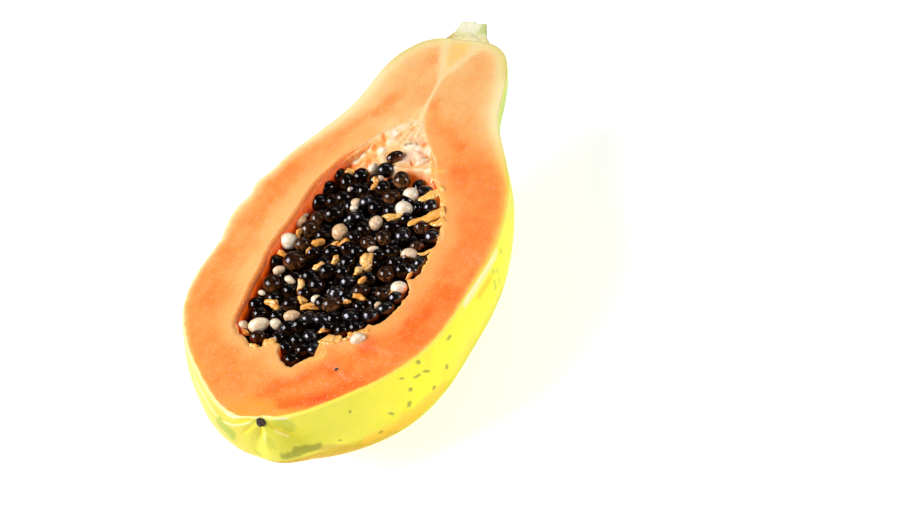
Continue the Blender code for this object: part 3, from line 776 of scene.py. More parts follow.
# Seeds that stayed pale: x, y, length and width in millimetres, degrees, and how tan they are.
PALE_SEEDS = (
    (341, 164, 2.9, 2.1, 10, 0.3), (351, 189, 2.3, 1.7, 45, 0.1), (411, 195, 5.2, 5.0, 60, 0.0),
    (404, 209, 5.6, 5.2, 0, 0.05), (376, 223, 5.0, 4.2, 70, 0.55), (340, 232, 5.6, 5.2, 80, 0.75),
    (289, 241, 5.6, 5.4, 20, 0.0), (373, 168, 3.6, 3.0, 60, 0.2), (424, 162, 4.8, 2.2, 15, 0.3),
    (279, 270, 4.0, 2.7, 20, 0.6), (290, 280, 3.9, 2.2, -38, 0.3), (262, 293, 2.6, 1.7, -30, 0.3),
    (316, 299, 3.2, 2.6, 30, 0.0), (292, 316, 5.4, 3.7, 5, 0.7), (259, 325, 7.0, 4.7, 18, 0.15),
    (276, 324, 3.3, 4.0, 60, 0.1), (243, 326, 3.6, 3.6, 60, 0.35), (358, 339, 5.2, 3.7, 25, 0.1),
    (399, 288, 5.4, 4.4, 10, 0.1), (409, 255, 5.4, 4.4, 15, 0.45), (356, 203, 3.6, 3.0, 40, 0.5),
    (354, 208, 2.6, 1.8, 0, 0.1), (379, 179, 3.2, 2.4, 20, 0.4), (301, 222, 4.6, 3.0, 60, 0.8),
    (304, 216, 3.0, 1.8, 20, 0.4), (373, 249, 3.6, 1.8, 10, 0.3), (378, 305, 2.4, 1.9, 30, 0.6),
)

# Bits of pulp between the seeds: x, y, length, width and depth in millimetres, degrees, and how
# orange they are.
PULP_BITS = (
    (394, 217, 7.6, 2.6, 2.2, -20, 0.25), (368, 262, 6.4, 4.4, 3.4, 70, 0.35),
    (273, 305, 5.4, 3.2, 2.6, -40, 0.55), (310, 307, 5.4, 2.4, 2.4, 10, 0.8),
    (302, 288, 6.2, 2.2, 2.2, -75, 0.4), (334, 261, 4.4, 2.2, 2.4, 65, 0.45),
    (318, 266, 4.2, 2.0, 2.0, 10, 0.3), (363, 280, 3.4, 1.9, 1.8, 15, 0.75),
    (359, 298, 4.6, 1.9, 1.9, -35, 0.75), (347, 302, 2.4, 1.6, 1.6, 20, 0.7),
    (302, 300, 3.4, 2.2, 2.0, -30, 0.5), (318, 242, 3.8, 2.6, 2.2, 40, 0.7),
    (332, 245, 4.6, 1.7, 1.6, 20, 0.75), (343, 243, 4.2, 1.8, 1.6, 15, 0.75),
    (359, 271, 3.8, 2.5, 2.2, 20, 0.3), (324, 331, 3.6, 1.6, 1.6, 30, 0.7),
    (376, 183, 3.4, 2.0, 2.0, -60, 0.6), (374, 186, 2.6, 1.8, 1.8, 80, 0.7),
    (392, 292, 3.8, 1.4, 1.4, 70, 0.5), (409, 276, 3.2, 1.4, 1.4, 40, 0.5),
    (299, 234, 4.0, 1.8, 1.8, 70, 0.75), (310, 251, 3.2, 1.8, 1.6, 40, 0.7),
    (283, 254, 3.6, 2.0, 1.8, -20, 0.8), (352, 171, 4.2, 2.4, 2.0, 10, 0.5),
    (245, 332, 3.0, 2.0, 1.6, -50, 0.8),
)

# Tongues of torn pulp that reach from the wall over the seeds: pixels from root to tip, half widths
# at both ends in millimetres, height over the seeds, and how orange they are.
TONGUES = (
    (((445, 192), (436, 195), (426, 198), (418, 200)), 2.6, 1.3, 1.5, 0.15),
    (((446, 214), (435, 216), (424, 220), (414, 222), (408, 226)), 2.3, 1.3, 1.2, 0.5),
    (((436, 250), (429, 252), (423, 254), (416, 253)), 0.7, 0.5, 1.6, 0.2),
    (((439, 184), (434, 181), (431, 184)), 0.9, 0.5, 1.2, 0.5),
    (((446, 224), (437, 226), (430, 223)), 2.0, 0.7, 0.8, 0.4),
)

# Soft lumps of pulp along the torn edge: about this many square millimetres to each.
CRUMB_SPACE = 1.9
CRUMB_RANDOM = 8

# Tongues have this many rings of points, with this many points to a ring.
TONGUE_RINGS = 28
TONGUE_SIDES = 24

# Sides and rings of the balls that seeds, lumps of pulp and the scar are made from.
SEED_BALL = (22, 14)
PALE_SEED_BALL = (26, 18)
PULP_BALL = (30, 20)
CRUMB_BALL = (18, 12)
SCAR_BALL = (40, 28)

# How much narrower a seed and its coat are at one end, as a share.
SEED_TAPER = 0.10
COAT_TAPER = 0.08
COAT_THICKNESS = 0.32

# The layer of seeds under those that are read off the picture. Each is set at the best of several
# tries, the one that is farthest from its neighbours.
UNDER_SEED_COUNT = 90
UNDER_SEED_TRIES = 30
UNDER_SEED_DEPTH = 3.6
UNDER_SEED_LENGTH = 6.0
UNDER_SEED_WIDTH = 5.2
UNDER_SEED_NAKED = 0.3
UNDER_SEED_RANDOM = 5

# The bed under the seeds: how far its top lies under the middles of the top seeds, its points to a
# ring, and where its rings lie between the middle of the cavity (0) and its edge (1), on its top and
# on its underside.
BED_DEPTH = 4.4
BED_SIDES = 120
BED_TOP_RINGS = (0.0, 0.15, 0.3, 0.45, 0.6, 0.75, 0.88, 0.93, 0.955)
BED_LOW_RINGS = (0.93, 0.8, 0.5, 0.0)


def ball(sides, rings):
    """Points and faces of a unit sphere."""
    points = [(0.0, 0.0, 1.0)]
    for down in math.pi * np.arange(1, rings) / rings:
        for turn in 2.0 * math.pi * np.arange(sides) / sides:
            points.append((math.sin(down) * math.cos(turn), math.sin(down) * math.sin(turn), math.cos(down)))
    points.append((0.0, 0.0, -1.0))
    index = np.arange(1, len(points) - 1).reshape(rings - 1, sides)
    faces = [(0, a, b) for a, b in zip(index[0], np.roll(index[0], -1))]
    for one, other in zip(index, index[1:]):
        faces += band(one, other, turned=True)
    faces += [(len(points) - 1, b, a) for a, b in zip(index[-1], np.roll(index[-1], -1))]
    return np.array(points), faces


class Heap:
    """Collects many small closed forms into one mesh."""

    def __init__(self):
        self.points = []
        self.faces = []
        self.values = {}
        self.count = 0

    def add(self, points, faces, **values):
        self.points.append(points)
        self.faces += [tuple(corner + self.count for corner in face) for face in faces]
        for label, value in values.items():
            spread = np.broadcast_to(np.asarray(value, float), (len(points),))
            self.values.setdefault(label, []).append(spread)
        self.count += len(points)

    def piece(self, name, materials):
        attributes = {label: np.concatenate(parts) for label, parts in self.values.items()}
        return new_piece(name, np.vstack(self.points), self.faces, materials, attributes=attributes)


def picture_axes(degrees, lean):
    """Three axes of a form whose long axis shows at this angle in the picture, leaning up a little."""
    turn = math.radians(degrees)
    long_axis = CAMERA_RIGHT * math.cos(turn) + CAMERA_UP * math.sin(turn)
    long_axis = long_axis - np.array([0.0, 0.0, long_axis[2] * (1.0 - lean)])
    long_axis /= np.linalg.norm(long_axis)
    short_axis = np.cross(CAMERA_BACK, long_axis)
    short_axis /= np.linalg.norm(short_axis)
    return np.array([long_axis, short_axis, np.cross(long_axis, short_axis)])


def seed_form(unit, place, radii, axes, wrinkle, size, shift):
    """A seed: an egg form with ridges pressed into it."""
    egg = unit * np.array(radii)
    egg[:, 1:] *= (1.0 - SEED_TAPER * unit[:, :1])
    rough = noise_at(unit * (0.6, 1.0, 1.0), size, shift=shift)
    ridges = 1.0 - np.abs(rough) * 2.2
    egg = egg + unit * (wrinkle * ridges)[:, None]
    return place + egg @ axes


def add_seed(cores, coats, unit, faces, place, length, width, axes, kind, shift):
    """One dark seed: its wrinkled core, and its coat where it has one."""
    radii = (length / 2.0, width / 2.0, width / 2.0 * 0.94)
    if kind == "n":
        form = seed_form(unit, place, radii, axes, 0.16, 0.22, shift)
        cores.add(form, faces, naked=1.0, shade=shift % 1.0)
        return
    inner = tuple(radius - COAT_THICKNESS for radius in radii)
    core = seed_form(unit, place, inner, axes, 0.09, 0.34, shift)
    cores.add(core, faces, naked=0.0, shade=shift % 1.0)
    egg = unit * np.array(radii)
    egg[:, 1:] *= (1.0 - COAT_TAPER * unit[:, :1])
    egg = egg + unit * (0.06 * noise_at(unit, 0.9, shift=shift + 3.0))[:, None]
    # How near each point is to the coat's equator, where its material paints a halo.
    low = 1.0 - np.abs(unit @ axes[:, 2])
    coats.add(place + egg @ axes, faces, brown=1.0 if kind == "b" else 0.0, low=low, shade=shift % 1.0)


def make_seeds(core_paint, coat_paint):
    """The dark seeds: those read off the picture, and a layer under them drawn at random."""
    draw = np.random.default_rng(UNDER_SEED_RANDOM)
    unit, faces = ball(*SEED_BALL)
    cores, coats = Heap(), Heap()
    places = []
    for number, (x, y, length, width, degrees, kind) in enumerate(SEEDS):
        place = on_heap((x, y), above=draw.uniform(-0.5, 0.4))
        if place[1] > HEAP_END + 5.0:
            place = on_ledge((x, y), 0.9)
        shift = 10.0 + 1.37 * number
        add_seed(cores, coats, unit, faces, place, length, width, picture_axes(degrees, 0.4), kind, shift)
        places.append(place)
    x, y, length, width, degrees = CHIP
    axes = picture_axes(degrees, 0.0)
    add_seed(cores, coats, unit, faces, at_height((x, y), 0.1), length, width, axes, "n", 9.0)
    places = np.array(places)
    low, high = places.min(axis=0), places.max(axis=0)
    under = places[:, :2]
    for number in range(UNDER_SEED_COUNT):
        tries = draw.uniform(low[:2] - 1.0, high[:2] + 1.0, size=(UNDER_SEED_TRIES, 2))
        away = tries - CAVITY_CENTRE
        tries = tries[(np.hypot(*away.T) / edge_length(away) < 0.86) & (tries[:, 1] < HEAP_END)]
        nearest = np.linalg.norm(tries[:, None] - under[None], axis=2).min(axis=1)
        spot = tries[nearest.argmax()]
        under = np.vstack([under, spot])
        height = heap_height(spot[None])[0] - UNDER_SEED_DEPTH + draw.uniform(-0.6, 0.6)
        axes = picture_axes(draw.uniform(0.0, 180.0), 0.3)
        size = draw.uniform(0.9, 1.1)
        length, width = UNDER_SEED_LENGTH * size, UNDER_SEED_WIDTH * size
        place = np.array([spot[0], spot[1], height])
        kind = "n" if draw.uniform() < UNDER_SEED_NAKED else "c"
        add_seed(cores, coats, unit, faces, place, length, width, axes, kind, 200.0 + 1.7 * number)
    return cores.piece("seeds", (core_paint,)), coats.piece("seed_coats", (coat_paint,))


def make_bed(paint):
    """A near-black bulk under the seeds that fills the gaps between them: partly the dark heap, partly
    painted shade in the gaps.
    """
    angles = np.linspace(0.0, 2.0 * math.pi, BED_SIDES, endpoint=False)
    ray = np.column_stack([np.cos(angles), np.sin(angles)])
    length = edge_length(ray)

    def ring_at(share, end):
        spots = CAVITY_CENTRE + ray * (length * share)[:, None]
        spots[:, 1] = np.minimum(spots[:, 1], HEAP_END + end - 6.0 * rise(spots[:, 0], 0.0, 6.0))
        return spots

    rings = []
    for share in BED_TOP_RINGS:
        spots = ring_at(share, 1.5)
        waves = 0.9 * noise_at(flattened(spots), 4.0, octaves=2, shift=6.6)
        height = heap_height(spots) - BED_DEPTH + waves
        height = np.minimum(np.maximum(height, cavity_height(spots) + 0.6), heap_height(spots) - 3.0)
        rings.append(np.column_stack([spots, height]))
    for share in BED_LOW_RINGS:
        spots = ring_at(share, 1.0)
        height = np.minimum(heap_height(spots) - 6.0, cavity_height(spots) + 1.0)
        rings.append(np.column_stack([spots, height]))
    index = np.arange(len(rings) * BED_SIDES).reshape(len(rings), BED_SIDES)
    faces = [face for one, other in zip(index, index[1:]) for face in band(one, other, turned=True)]
    return face_out(new_piece("seed_bed_and_shade", np.vstack(rings), faces, (paint,)), merge=0.02)


def make_pale_seeds(paint):
    """The seeds that stayed pale."""
    unit, faces = ball(*PALE_SEED_BALL)
    heap = Heap()
    for number, (x, y, length, width, degrees, tan) in enumerate(PALE_SEEDS):
        place = on_heap((x, y), above=0.5 + 0.12 * width)
        away = at_height((x, y), 0.0)[None, :2] - CAVITY_CENTRE
        if np.hypot(*away[0]) > edge_length(away)[0] - 1.0:
            place = at_height((x, y), 0.05 * width)
        radii = (length / 2.0, width / 2.0, width / 2.0 * 0.9)
        form = seed_form(unit, place, radii, picture_axes(degrees, 0.4), 0.1 + 0.05 * tan, 0.5, 30.0 + number)
        heap.add(form, faces, tan=tan, shade=(number * 0.37) % 1.0)
    return heap.piece("pale_seeds", (paint,))


def lump(unit, place, radii, axes, shift, rough=0.35):
    """A torn bit of soft pulp."""
    form = unit * np.array(radii)
    bulge = noise_at(unit, 0.9, octaves=2, shift=shift) * rough
    torn = np.abs(noise_at(unit, 0.45, octaves=2, shift=shift + 4.0)) * rough
    form = form * (1.0 + bulge - 0.6 * torn)[:, None]
    form[:, 1] += 0.2 * radii[0] * np.sin(unit[:, 0] * 2.0 + shift)
    form[:, 2] += 0.3 * radii[2] * np.sin(unit[:, 0] * 2.6 + shift * 1.7)
    return place + form @ axes


def make_pulp_bits(paint):
    """Torn bits of pulp among the seeds, and tongues of it that reach over them from the wall."""
    unit, faces = ball(*PULP_BALL)
    heap = Heap()
    for number, (x, y, length, width, deep, degrees, orange) in enumerate(PULP_BITS):
        place = on_heap((x, y), above=1.2)
        radii = (length / 2.0, width / 2.0, deep / 2.0)
        form = lump(unit, place, radii, picture_axes(degrees, 0.4), 50.0 + number, rough=0.5)
        heap.add(form, faces, orange=orange)
    for number, (pixels, root, tip, above, orange) in enumerate(TONGUES):
        knots = np.array([on_heap(pixel, above) for pixel in pixels])
        knots[0, 2] = knots[1, 2] = -0.8
        line = spline(knots, np.linspace(0.0, len(knots) - 1.0, TONGUE_RINGS))
        share = np.linspace(0.0, 1.0, TONGUE_RINGS)
        wide = (root + (tip - root) * share**0.8) * np.sqrt(np.clip((1.0 - share) * 6.0, 0.02, 1.0))
        wide *= 1.0 + 0.4 * noise_at(line, 2.4, octaves=2, shift=70.0 + number)
        points, strip = tube(line, wide, TONGUE_SIDES, flat=0.5)
        torn = noise_at(points, 1.1, octaves=3, shift=number)
        points = points + 0.08 * torn[:, None] * np.array([0.6, 1.0, 0.8])
        heap.add(points, strip, orange=orange)
    draw = np.random.default_rng(CRUMB_RANDOM)
    unit, faces = ball(*CRUMB_BALL)
    for x0, y0, x1, y1, half_width in EDGE_PULP[:LUMPY_ROWS]:
        start, end = at_height((x0, y0), 0.0), at_height((x1, y1), 0.0)
        length = np.linalg.norm(end - start)
        for number in range(int(length * half_width / CRUMB_SPACE) + 2):
            spot = start + (end - start) * draw.uniform(-0.05, 1.05)
            spot[:2] += draw.normal(0.0, 0.45 * half_width, 2)
            size = draw.uniform(0.6, 1.25)
            away = spot[None, :2] - CAVITY_CENTRE
            over = np.hypot(*away[0]) - edge_length(away)[0]
            spot[2] = -0.35 - 0.2 * size + 0.35 * rise(over, -1.5, 0.5) - 0.5 * rise(-over, 0.0, 2.5)
            turn = draw.uniform(0.0, math.pi)
            across, along = math.cos(turn), math.sin(turn)
            axes = np.array([[across, along, 0.0], [-along, across, 0.0], [0.0, 0.0, 1.0]])
            shift = 300.0 + draw.uniform(0.0, 99.0)
            form = lump(unit, spot, (size * 1.5, size, size * 0.5), axes, shift, rough=0.4)
            heap.add(form, faces, orange=draw.uniform(0.1, 0.75))
    return heap.piece("pulp_bits", (paint,))


# The pulp on the ledge: soft lumps and fibres that sweep from the foot of the strand. Lumps are read
# off the picture: x, y, length, width, degrees, how far they stand out, and their kind. Fibres run
# between two pixels: x, y, x, y, half width.
WEB_FOOT = (1.2, 133.5)
WEB_STEP = 0.22
WEB_BOX = (-21.0, 16.0, 104.0, 134.5)
WEB_LUMPS = (
    (395, 134, 2.6, 1.9, 20, 0.7, "w"), (390, 141, 2.6, 3.4, 80, 0.3, "c"),
    (404, 128, 3.4, 2.0, 20, 0.4, "c"), (381, 151, 2.4, 1.8, 30, 0.5, "w"),
    (383, 158, 1.8, 2.4, 10, 0.4, "c"), (369, 148, 3.2, 2.2, 40, 0.4, "w"),
    (362, 157, 2.6, 1.9, 25, 0.9, "w"), (356, 163, 2.6, 2.0, 60, 0.7, "w"),
    (374, 147, 2.0, 1.5, 40, -0.2, "o"), (369, 162, 2.0, 3.2, 10, -0.4, "o"),
    (384, 139, 1.3, 3.6, 15, -0.2, "o"), (409, 147, 3.6, 2.6, 20, 0.5, "w"),
    (417, 149, 3.0, 2.4, 60, 0.5, "w"), (411, 155, 3.0, 2.2, 40, 0.5, "p"),
    (426, 146, 2.0, 2.6, 80, 0.2, "o"), (428, 152, 1.8, 2.6, 10, 0.4, "p"),
    (419, 156, 2.2, 1.8, 40, 0.6, "p"), (405, 160, 2.4, 2.0, 10, 0.3, "p"),
    (425, 135, 1.6, 3.0, 80, 0.2, "c"), (424, 161, 3.2, 1.5, 8, 1.0, "g"),
    (419, 164, 1.8, 0.8, 5, 0.9, "w"), (412, 163, 0.9, 1.8, 10, -0.5, "o"),
    (427, 158, 0.9, 2.4, 20, -0.15, "o"), (406, 145, 1.4, 1.0, 40, -0.15, "d"),
    (411, 144, 1.2, 0.8, 0, -0.1, "d"), (417, 144, 0.6, 1.0, 0, -0.1, "d"),
    (399, 163, 2.4, 1.2, 0, 0.3, "c"),
)
WEB_FIBRES = (
    (424, 118, 408, 140, 0.8), (421, 118, 398, 144, 0.6), (416, 120, 388, 142, 0.6),
    (423, 124, 416, 138, 0.6), (410, 122, 372, 146, 0.6), (400, 126, 360, 152, 0.5),
    (394, 137, 378, 158, 0.5), (394, 168, 438, 170, 0.8),
)
# How light, pink and grey each kind of lump is. The white kind is partly pale pulp and partly painted
# highlight; the orange kind is partly orange pulp and partly painted shade in the dips.
WEB_KINDS = {
    "w": (1.15, 0.1, 0.0),
    "p": (0.8, 0.9, 0.0),
    "c": (0.85, 0.0, 0.0),
    "o": (-0.1, 0.0, 0.0),
    "g": (0.7, 0.4, 0.4),
    "d": (0.6, 0.0, 0.6),
}


def web_height(points):
    """The top of the pulp on the ledge under points (x, y)."""
    x, y = points[:, 0], points[:, 1]
    top = -0.45 - 1.0 * fall(y, 115.0, 125.0)
    top = top - 1.9 * fall(x, -17.0, -12.0) * fall(y, 117.0, 124.0)
    top = top - 0.8 * rise(x, -3.0, 4.0) * fall(y, 120.0, 128.0)
    end = 111.5 + 1.4 * rise(x, 0.0, 8.0) + 1.0 * np.sin(x * 0.9) * rise(-x, 2.0, 8.0)
    past = np.maximum(end - y, 0.0)
    return top - 1.15 * past - 0.25 * past * rise(-x, 0.0, 6.0)


def on_ledge(pixel, above):
    """The fruit point at a pixel that lies this far above the pulp on the ledge."""
    point = at_height(pixel, -2.0)
    for _ in range(LEDGE_STEPS):
        height = max(web_height(point[None, :2])[0], -6.0)
        point = at_height(pixel, 0.5 * point[2] + 0.5 * (height + above))
    return point


def web_forms(flat, light, pink):
    """The lumps and fibres of the pulp on the ledge: how far they stand out, and their colours."""
    relief, grey = np.zeros(len(flat)), np.zeros(len(flat))
    ragged = 0.35 * noise_at(flat, 1.8, shift=9.0)
    for x0, y0, x1, y1, half_width in WEB_FIBRES:
        distance, _ = segment_distance(flat[:, :2], on_ledge((x0, y0), 0.0)[:2], on_ledge((x1, y1), 0.0)[:2])
        near = np.exp(-((distance / half_width + 0.6 * ragged) ** 2))
        relief += 0.3 * near
        light += 0.3 * near
    for x, y, length, width, degrees, out, kind in WEB_LUMPS:
        axes = picture_axes(degrees, 0.0)
        offset = flattened(flat - on_ledge((x, y), 0.0))
        share = np.hypot(offset @ axes[0] / (0.62 * length), offset @ axes[1] / (0.62 * width))
        near = fall(share + 0.5 * ragged, 0.1, 1.5)
        relief += out * near
        for found, wanted in zip((light, pink, grey), WEB_KINDS[kind]):
            found += (wanted - found) * near
    return relief, light, pink, grey


def web_skin():
    """The pulp on the ledge as one closed form, and the colours of its points."""
    low_x, high_x, low_y, high_y = WEB_BOX
    across = np.arange(low_x, high_x, WEB_STEP)
    along = np.arange(low_y, high_y, WEB_STEP)
    x, y = (side.ravel() for side in np.meshgrid(across, along))
    flat = np.column_stack([x, y, np.zeros(len(x))])
    away = flat[:, :2] - np.array(WEB_FOOT)
    turn = np.arctan2(away[:, 1], away[:, 0]) + 0.16 * noise_at(flat, 6.0, octaves=2, shift=1.1)
    swept = np.column_stack([turn * 5.0, np.hypot(*away.T) / 7.0, np.zeros(len(x))])
    grain = 0.4 * noise_at(swept, 1.0, octaves=2, shift=4.4) + 0.5 * noise_at(flat, 3.0, octaves=3, shift=7.1)
    right = rise(x, -4.0, 2.0) * rise(y, 113.0, 117.0) * fall(y, 123.0, 128.0)
    relief, light, pink, grey = web_forms(flat, 0.45 + 0.5 * grain, 0.7 * right)

    edge = edge_length(flat[:, :2] - CAVITY_CENTRE) - np.hypot(*(flat[:, :2] - CAVITY_CENTRE).T)
    inside = rise(edge, -0.6, 1.6)
    top = (web_height(flat[:, :2]) + 0.4 * grain + relief) * inside - 1.6 * fall(edge, -1.4, -0.3)
    top = np.minimum(top, -0.1 - 0.12 * (1.0 - inside))
    # Where the pulp lies low, on the bare slope, in the recess and deep down, its material lays painted shade
    # and a painted glow.
    bare = rise(x, -1.0, 4.0) * fall(y, 110.5, 113.0)
    recess = fall(x, -16.5, -12.5) * fall(y, 118.0, 123.0)
    low = np.maximum(bare, recess) * fall(relief, 0.2, 0.5) + rise(-top, 3.0, 7.0)
    low = np.clip(low, 0.0, 1.0)

    bottom = -16.0 + 9.0 * rise(y, 110.0, 118.0)
    points = np.vstack([np.column_stack([x, y, top]), np.column_stack([x, y, bottom])])
    count = len(x)
    index = np.arange(count).reshape(len(along), len(across))
    faces = sheet(index)
    corners = np.concatenate([index[0, :-1], index[:-1, -1], index[-1, :0:-1], index[:0:-1, 0]])
    faces += [(b, a, a + count, b + count) for a, b in zip(corners, np.roll(corners, -1))]
    faces.append(tuple(corner + count for corner in corners[::-1]))
    used = sorted({corner for face in faces for corner in face})
    place = {old: new for new, old in enumerate(used)}
    faces = [tuple(place[corner] for corner in face) for face in faces]
    colours = {"light": light, "pink": pink, "grey": grey, "low": low}
    return points[used], faces, {name: np.tile(value, 2)[used] for name, value in colours.items()}


def make_web(paint):
    """Pale fibrous pulp on the ledge at the stem end of the cavity."""
    points, faces, colours = web_skin()
    return new_piece("pulp_web", points, faces, (paint,), attributes=colours)


def tube(line, widths, sides, flat=1.0):
    """Points and faces of a strand along a line, closed at both ends and pressed flat by a share."""
    along = np.gradient(line, axis=0)
    along /= lengths(along)[:, None]
    across = np.cross(along, (0.0, 0.0, 1.0))
    across /= lengths(across)[:, None]
    up = np.cross(across, along)
    turns = np.linspace(0.0, 2.0 * math.pi, sides, endpoint=False)
    points = []
    for place, width, a, b in zip(line, widths, across, up):
        points += [place + width * (a * math.cos(turn) + b * flat * math.sin(turn)) for turn in turns]
    index = np.arange(len(points)).reshape(len(line), sides)
    faces = [face for one, other in zip(index, index[1:]) for face in band(one, other, turned=True)]
    faces += [tuple(index[0]), tuple(index[-1][::-1])]
    return np.array(points), faces


SCAR_PLACE = np.array([-0.5, -0.4, -1.8])
SCAR_RADIUS = 1.62


def make_scar(paint):
    """The dried scar of the blossom: a dark crusty knob."""
    unit, faces = ball(*SCAR_BALL)
    crust = noise_at(unit, 0.28, octaves=3, shift=12.0)
    grain = np.abs(noise_at(unit, 0.5, shift=14.0))
    form = unit * (SCAR_RADIUS + 0.5 * crust - 0.45 * grain)[:, None]
    heap = Heap()
    heap.add(SCAR_PLACE + form, faces, crust=crust)
    return heap.piece("blossom_scar", (paint,))


# The outline of the stem's stub in the cut: (y, left x, right x). The notch in its crown is given as
# place, half width and depth, and its foot sinks into the fruit.
STUB_PROFILE = (
    (172.0, -8.0, 8.4), (172.7, -7.4, 7.9), (174.3, -6.6, 6.6), (176.1, -6.0, 5.7), (178.2, -5.8, 4.9),
    (179.6, -5.5, 4.3), (180.5, -5.0, 3.9), (180.9, -4.2, 3.4),
)
STUB_CROWN = 181.3
STUB_THICKNESS = 0.92
STUB_NOTCH = (0.7, 0.6, 1.1)
STUB_SINK = 2.2
STUB_LIP = 0.3
STUB_MIDDLE = np.array([-0.6, 175.5])
STUB_ROWS = 34
STUB_COLUMNS = 61

# Where the rings of the stub's cut face lie between its rim (0) and its middle (1).
STUB_RINGS = (0.05, 0.12, 0.18, 0.24, 0.3, 0.36, 0.42, 0.5, 0.6, 0.7, 0.85)


def make_stub(paint):
    """The cut stub of the stem, half round, with a notch in its crown."""
    profile = np.array(STUB_PROFILE)
    y_steps = np.linspace(profile[0, 0], STUB_CROWN - 0.02, STUB_ROWS)
    y_steps = np.concatenate([[profile[0, 0] - STUB_SINK], y_steps])
    turn = np.linspace(0.0, math.pi, STUB_COLUMNS)
    rows = []
    for y in y_steps:
        left, right = (np.interp(y, profile[:, 0], profile[:, side]) for side in (1, 2))
        middle, half = (left + right) / 2.0, (right - left) / 2.0
        if y > profile[-1, 0]:
            half *= math.sqrt(max(1.0 - (y - profile[-1, 0]) / (STUB_CROWN - profile[-1, 0]), 0.02))
        z = np.minimum(-half * STUB_THICKNESS * np.sin(turn), -STUB_LIP)
        rows.append(np.column_stack([middle - half * np.cos(turn), np.full(STUB_COLUMNS, y), z]))
    skin = np.vstack(rows)
    place, width, deep = STUB_NOTCH
    skin[:, 1] -= deep * rise(skin[:, 1], 173.0, STUB_CROWN) * np.exp(-(((skin[:, 0] - place) / width) ** 2))
    ribs = 0.16 * noise_at(skin * (1.0, 0.12, 1.0), 1.1, shift=2.0)
    ribs = ribs + 0.12 * noise_at(skin, 2.2, octaves=2, shift=5.0)
    out = skin * (1.0, 0.0, 1.0)
    out /= np.maximum(lengths(out), 0.1)[:, None]
    skin = skin + out * (ribs * rise(skin[:, 1], 171.0, 173.5))[:, None]
    skin[:, 2] = np.minimum(skin[:, 2], -STUB_LIP)

    index = np.arange(len(skin)).reshape(len(y_steps), STUB_COLUMNS)
    faces = sheet(index)
    loop = np.concatenate([index[:, 0], index[-1, 1:-1], index[::-1, -1], index[0, -2:0:-1]])
    rings, previous = [skin], loop
    for number, share in enumerate(STUB_RINGS):
        ring = skin[loop].copy()
        ring[:, :2] += (STUB_MIDDLE - ring[:, :2]) * share
        height = 0.12 * noise_at(ring * (1.0, 0.3, 1.0), 1.0, octaves=2, shift=3.0) * rise(share, 0.0, 0.2)
        height = height - 0.5 * fall(ring[:, 1], 171.0, 172.4)
        ring[:, 2] = height - STUB_LIP * (0.3 if share < 0.1 else 0.0)
        rings.append(ring)
        current = len(skin) + number * len(loop) + np.arange(len(loop))
        faces += band(previous, current)
        previous = current
    points = np.vstack([*rings, [(*STUB_MIDDLE, 0.0)]])
    faces += fan_out(previous, len(points) - 1)
    x, y, _ = points.T
    attributes = {
        "lobe": rise(x, 1.6, 3.0) * rise(y, 174.0, 177.0),
        "base": fall(y, 172.6, 175.6) * rise(-x, 3.5, 7.0),
        "foot": fall(y, 173.0, 176.5),
    }
    return face_out(new_piece("stub", points, faces, (paint,), attributes=attributes))


def put(socket, value):
    """Links a field to a socket, or sets the socket's own value. A colour of three is as on a screen."""
    if isinstance(value, Field):
        socket.id_data.links.new(value.socket, socket)
    elif isinstance(value, tuple) and socket.type == "RGBA" and len(value) == 3:
        socket.default_value = (*srgb(*value), 1.0)
    else:
        socket.default_value = value


def new_node(tree, kind, inputs=(), out=0, **settings):
    """The output of a new node, with its inputs given in order or by name."""
    node = tree.nodes.new("ShaderNode" + kind)
    for label, value in settings.items():
        setattr(node, label, value)
    pairs = inputs.items() if isinstance(inputs, dict) else enumerate(inputs)
    for place, value in pairs:
        put(node.inputs[place], value)
    return Field(node.outputs[out])


class Field:
    """A number or a colour that varies over a surface: the output of a node."""

    def __init__(self, socket):
        self.socket = socket

    def node(self, kind, inputs, out=0, **settings):
        return new_node(self.socket.id_data, kind, inputs, out, **settings)

    def math(self, operation, one, other):
        return self.node("Math", (one, other), operation=operation)

    def __add__(self, other):
        return self.math("ADD", self, other)

    def __sub__(self, other):
        return self.math("SUBTRACT", self, other)

    def __rsub__(self, other):
        return self.math("SUBTRACT", other, self)

    def __mul__(self, other):
        return self.math("MULTIPLY", self, other)

    def __truediv__(self, other):
        return self.math("DIVIDE", self, other)

    def at_least(self, other):
        return self.math("MAXIMUM", self, other)

    def spread(self, low, high, to_low=0.0, to_high=1.0):
        """Maps a range smoothly to another, and holds it at the ends."""
        inputs = (self, low, high, to_low, to_high)
        return self.node("MapRange", inputs, "Result", interpolation_type="SMOOTHSTEP")

    def ramp(self, *stops):
        """A colour ramp of (place, colour)."""
        found = self.node("ValToRGB", (self,))
        elements = found.socket.node.color_ramp.elements
        while len(elements) < len(stops):
            elements.new(0.5)
        for element, (place, colour) in zip(elements, stops):
            element.position = place
            element.color = (*srgb(*colour), 1.0)
        return found

    def mix(self, one, other):
        """The one colour where this is 0, and the other where it is 1."""
        return self.node("Mix", {0: self, 6: one, 7: other}, 2, data_type="RGBA")

    def bump(self, depth, strength, after=None):
        """Relief of this height, this many millimetres deep, on top of another relief."""
        inputs = {"Strength": strength, "Distance": depth * MM, "Height": self}
        if after is not None:
            inputs["Normal"] = after
        return self.node("Bump", inputs, "Normal")


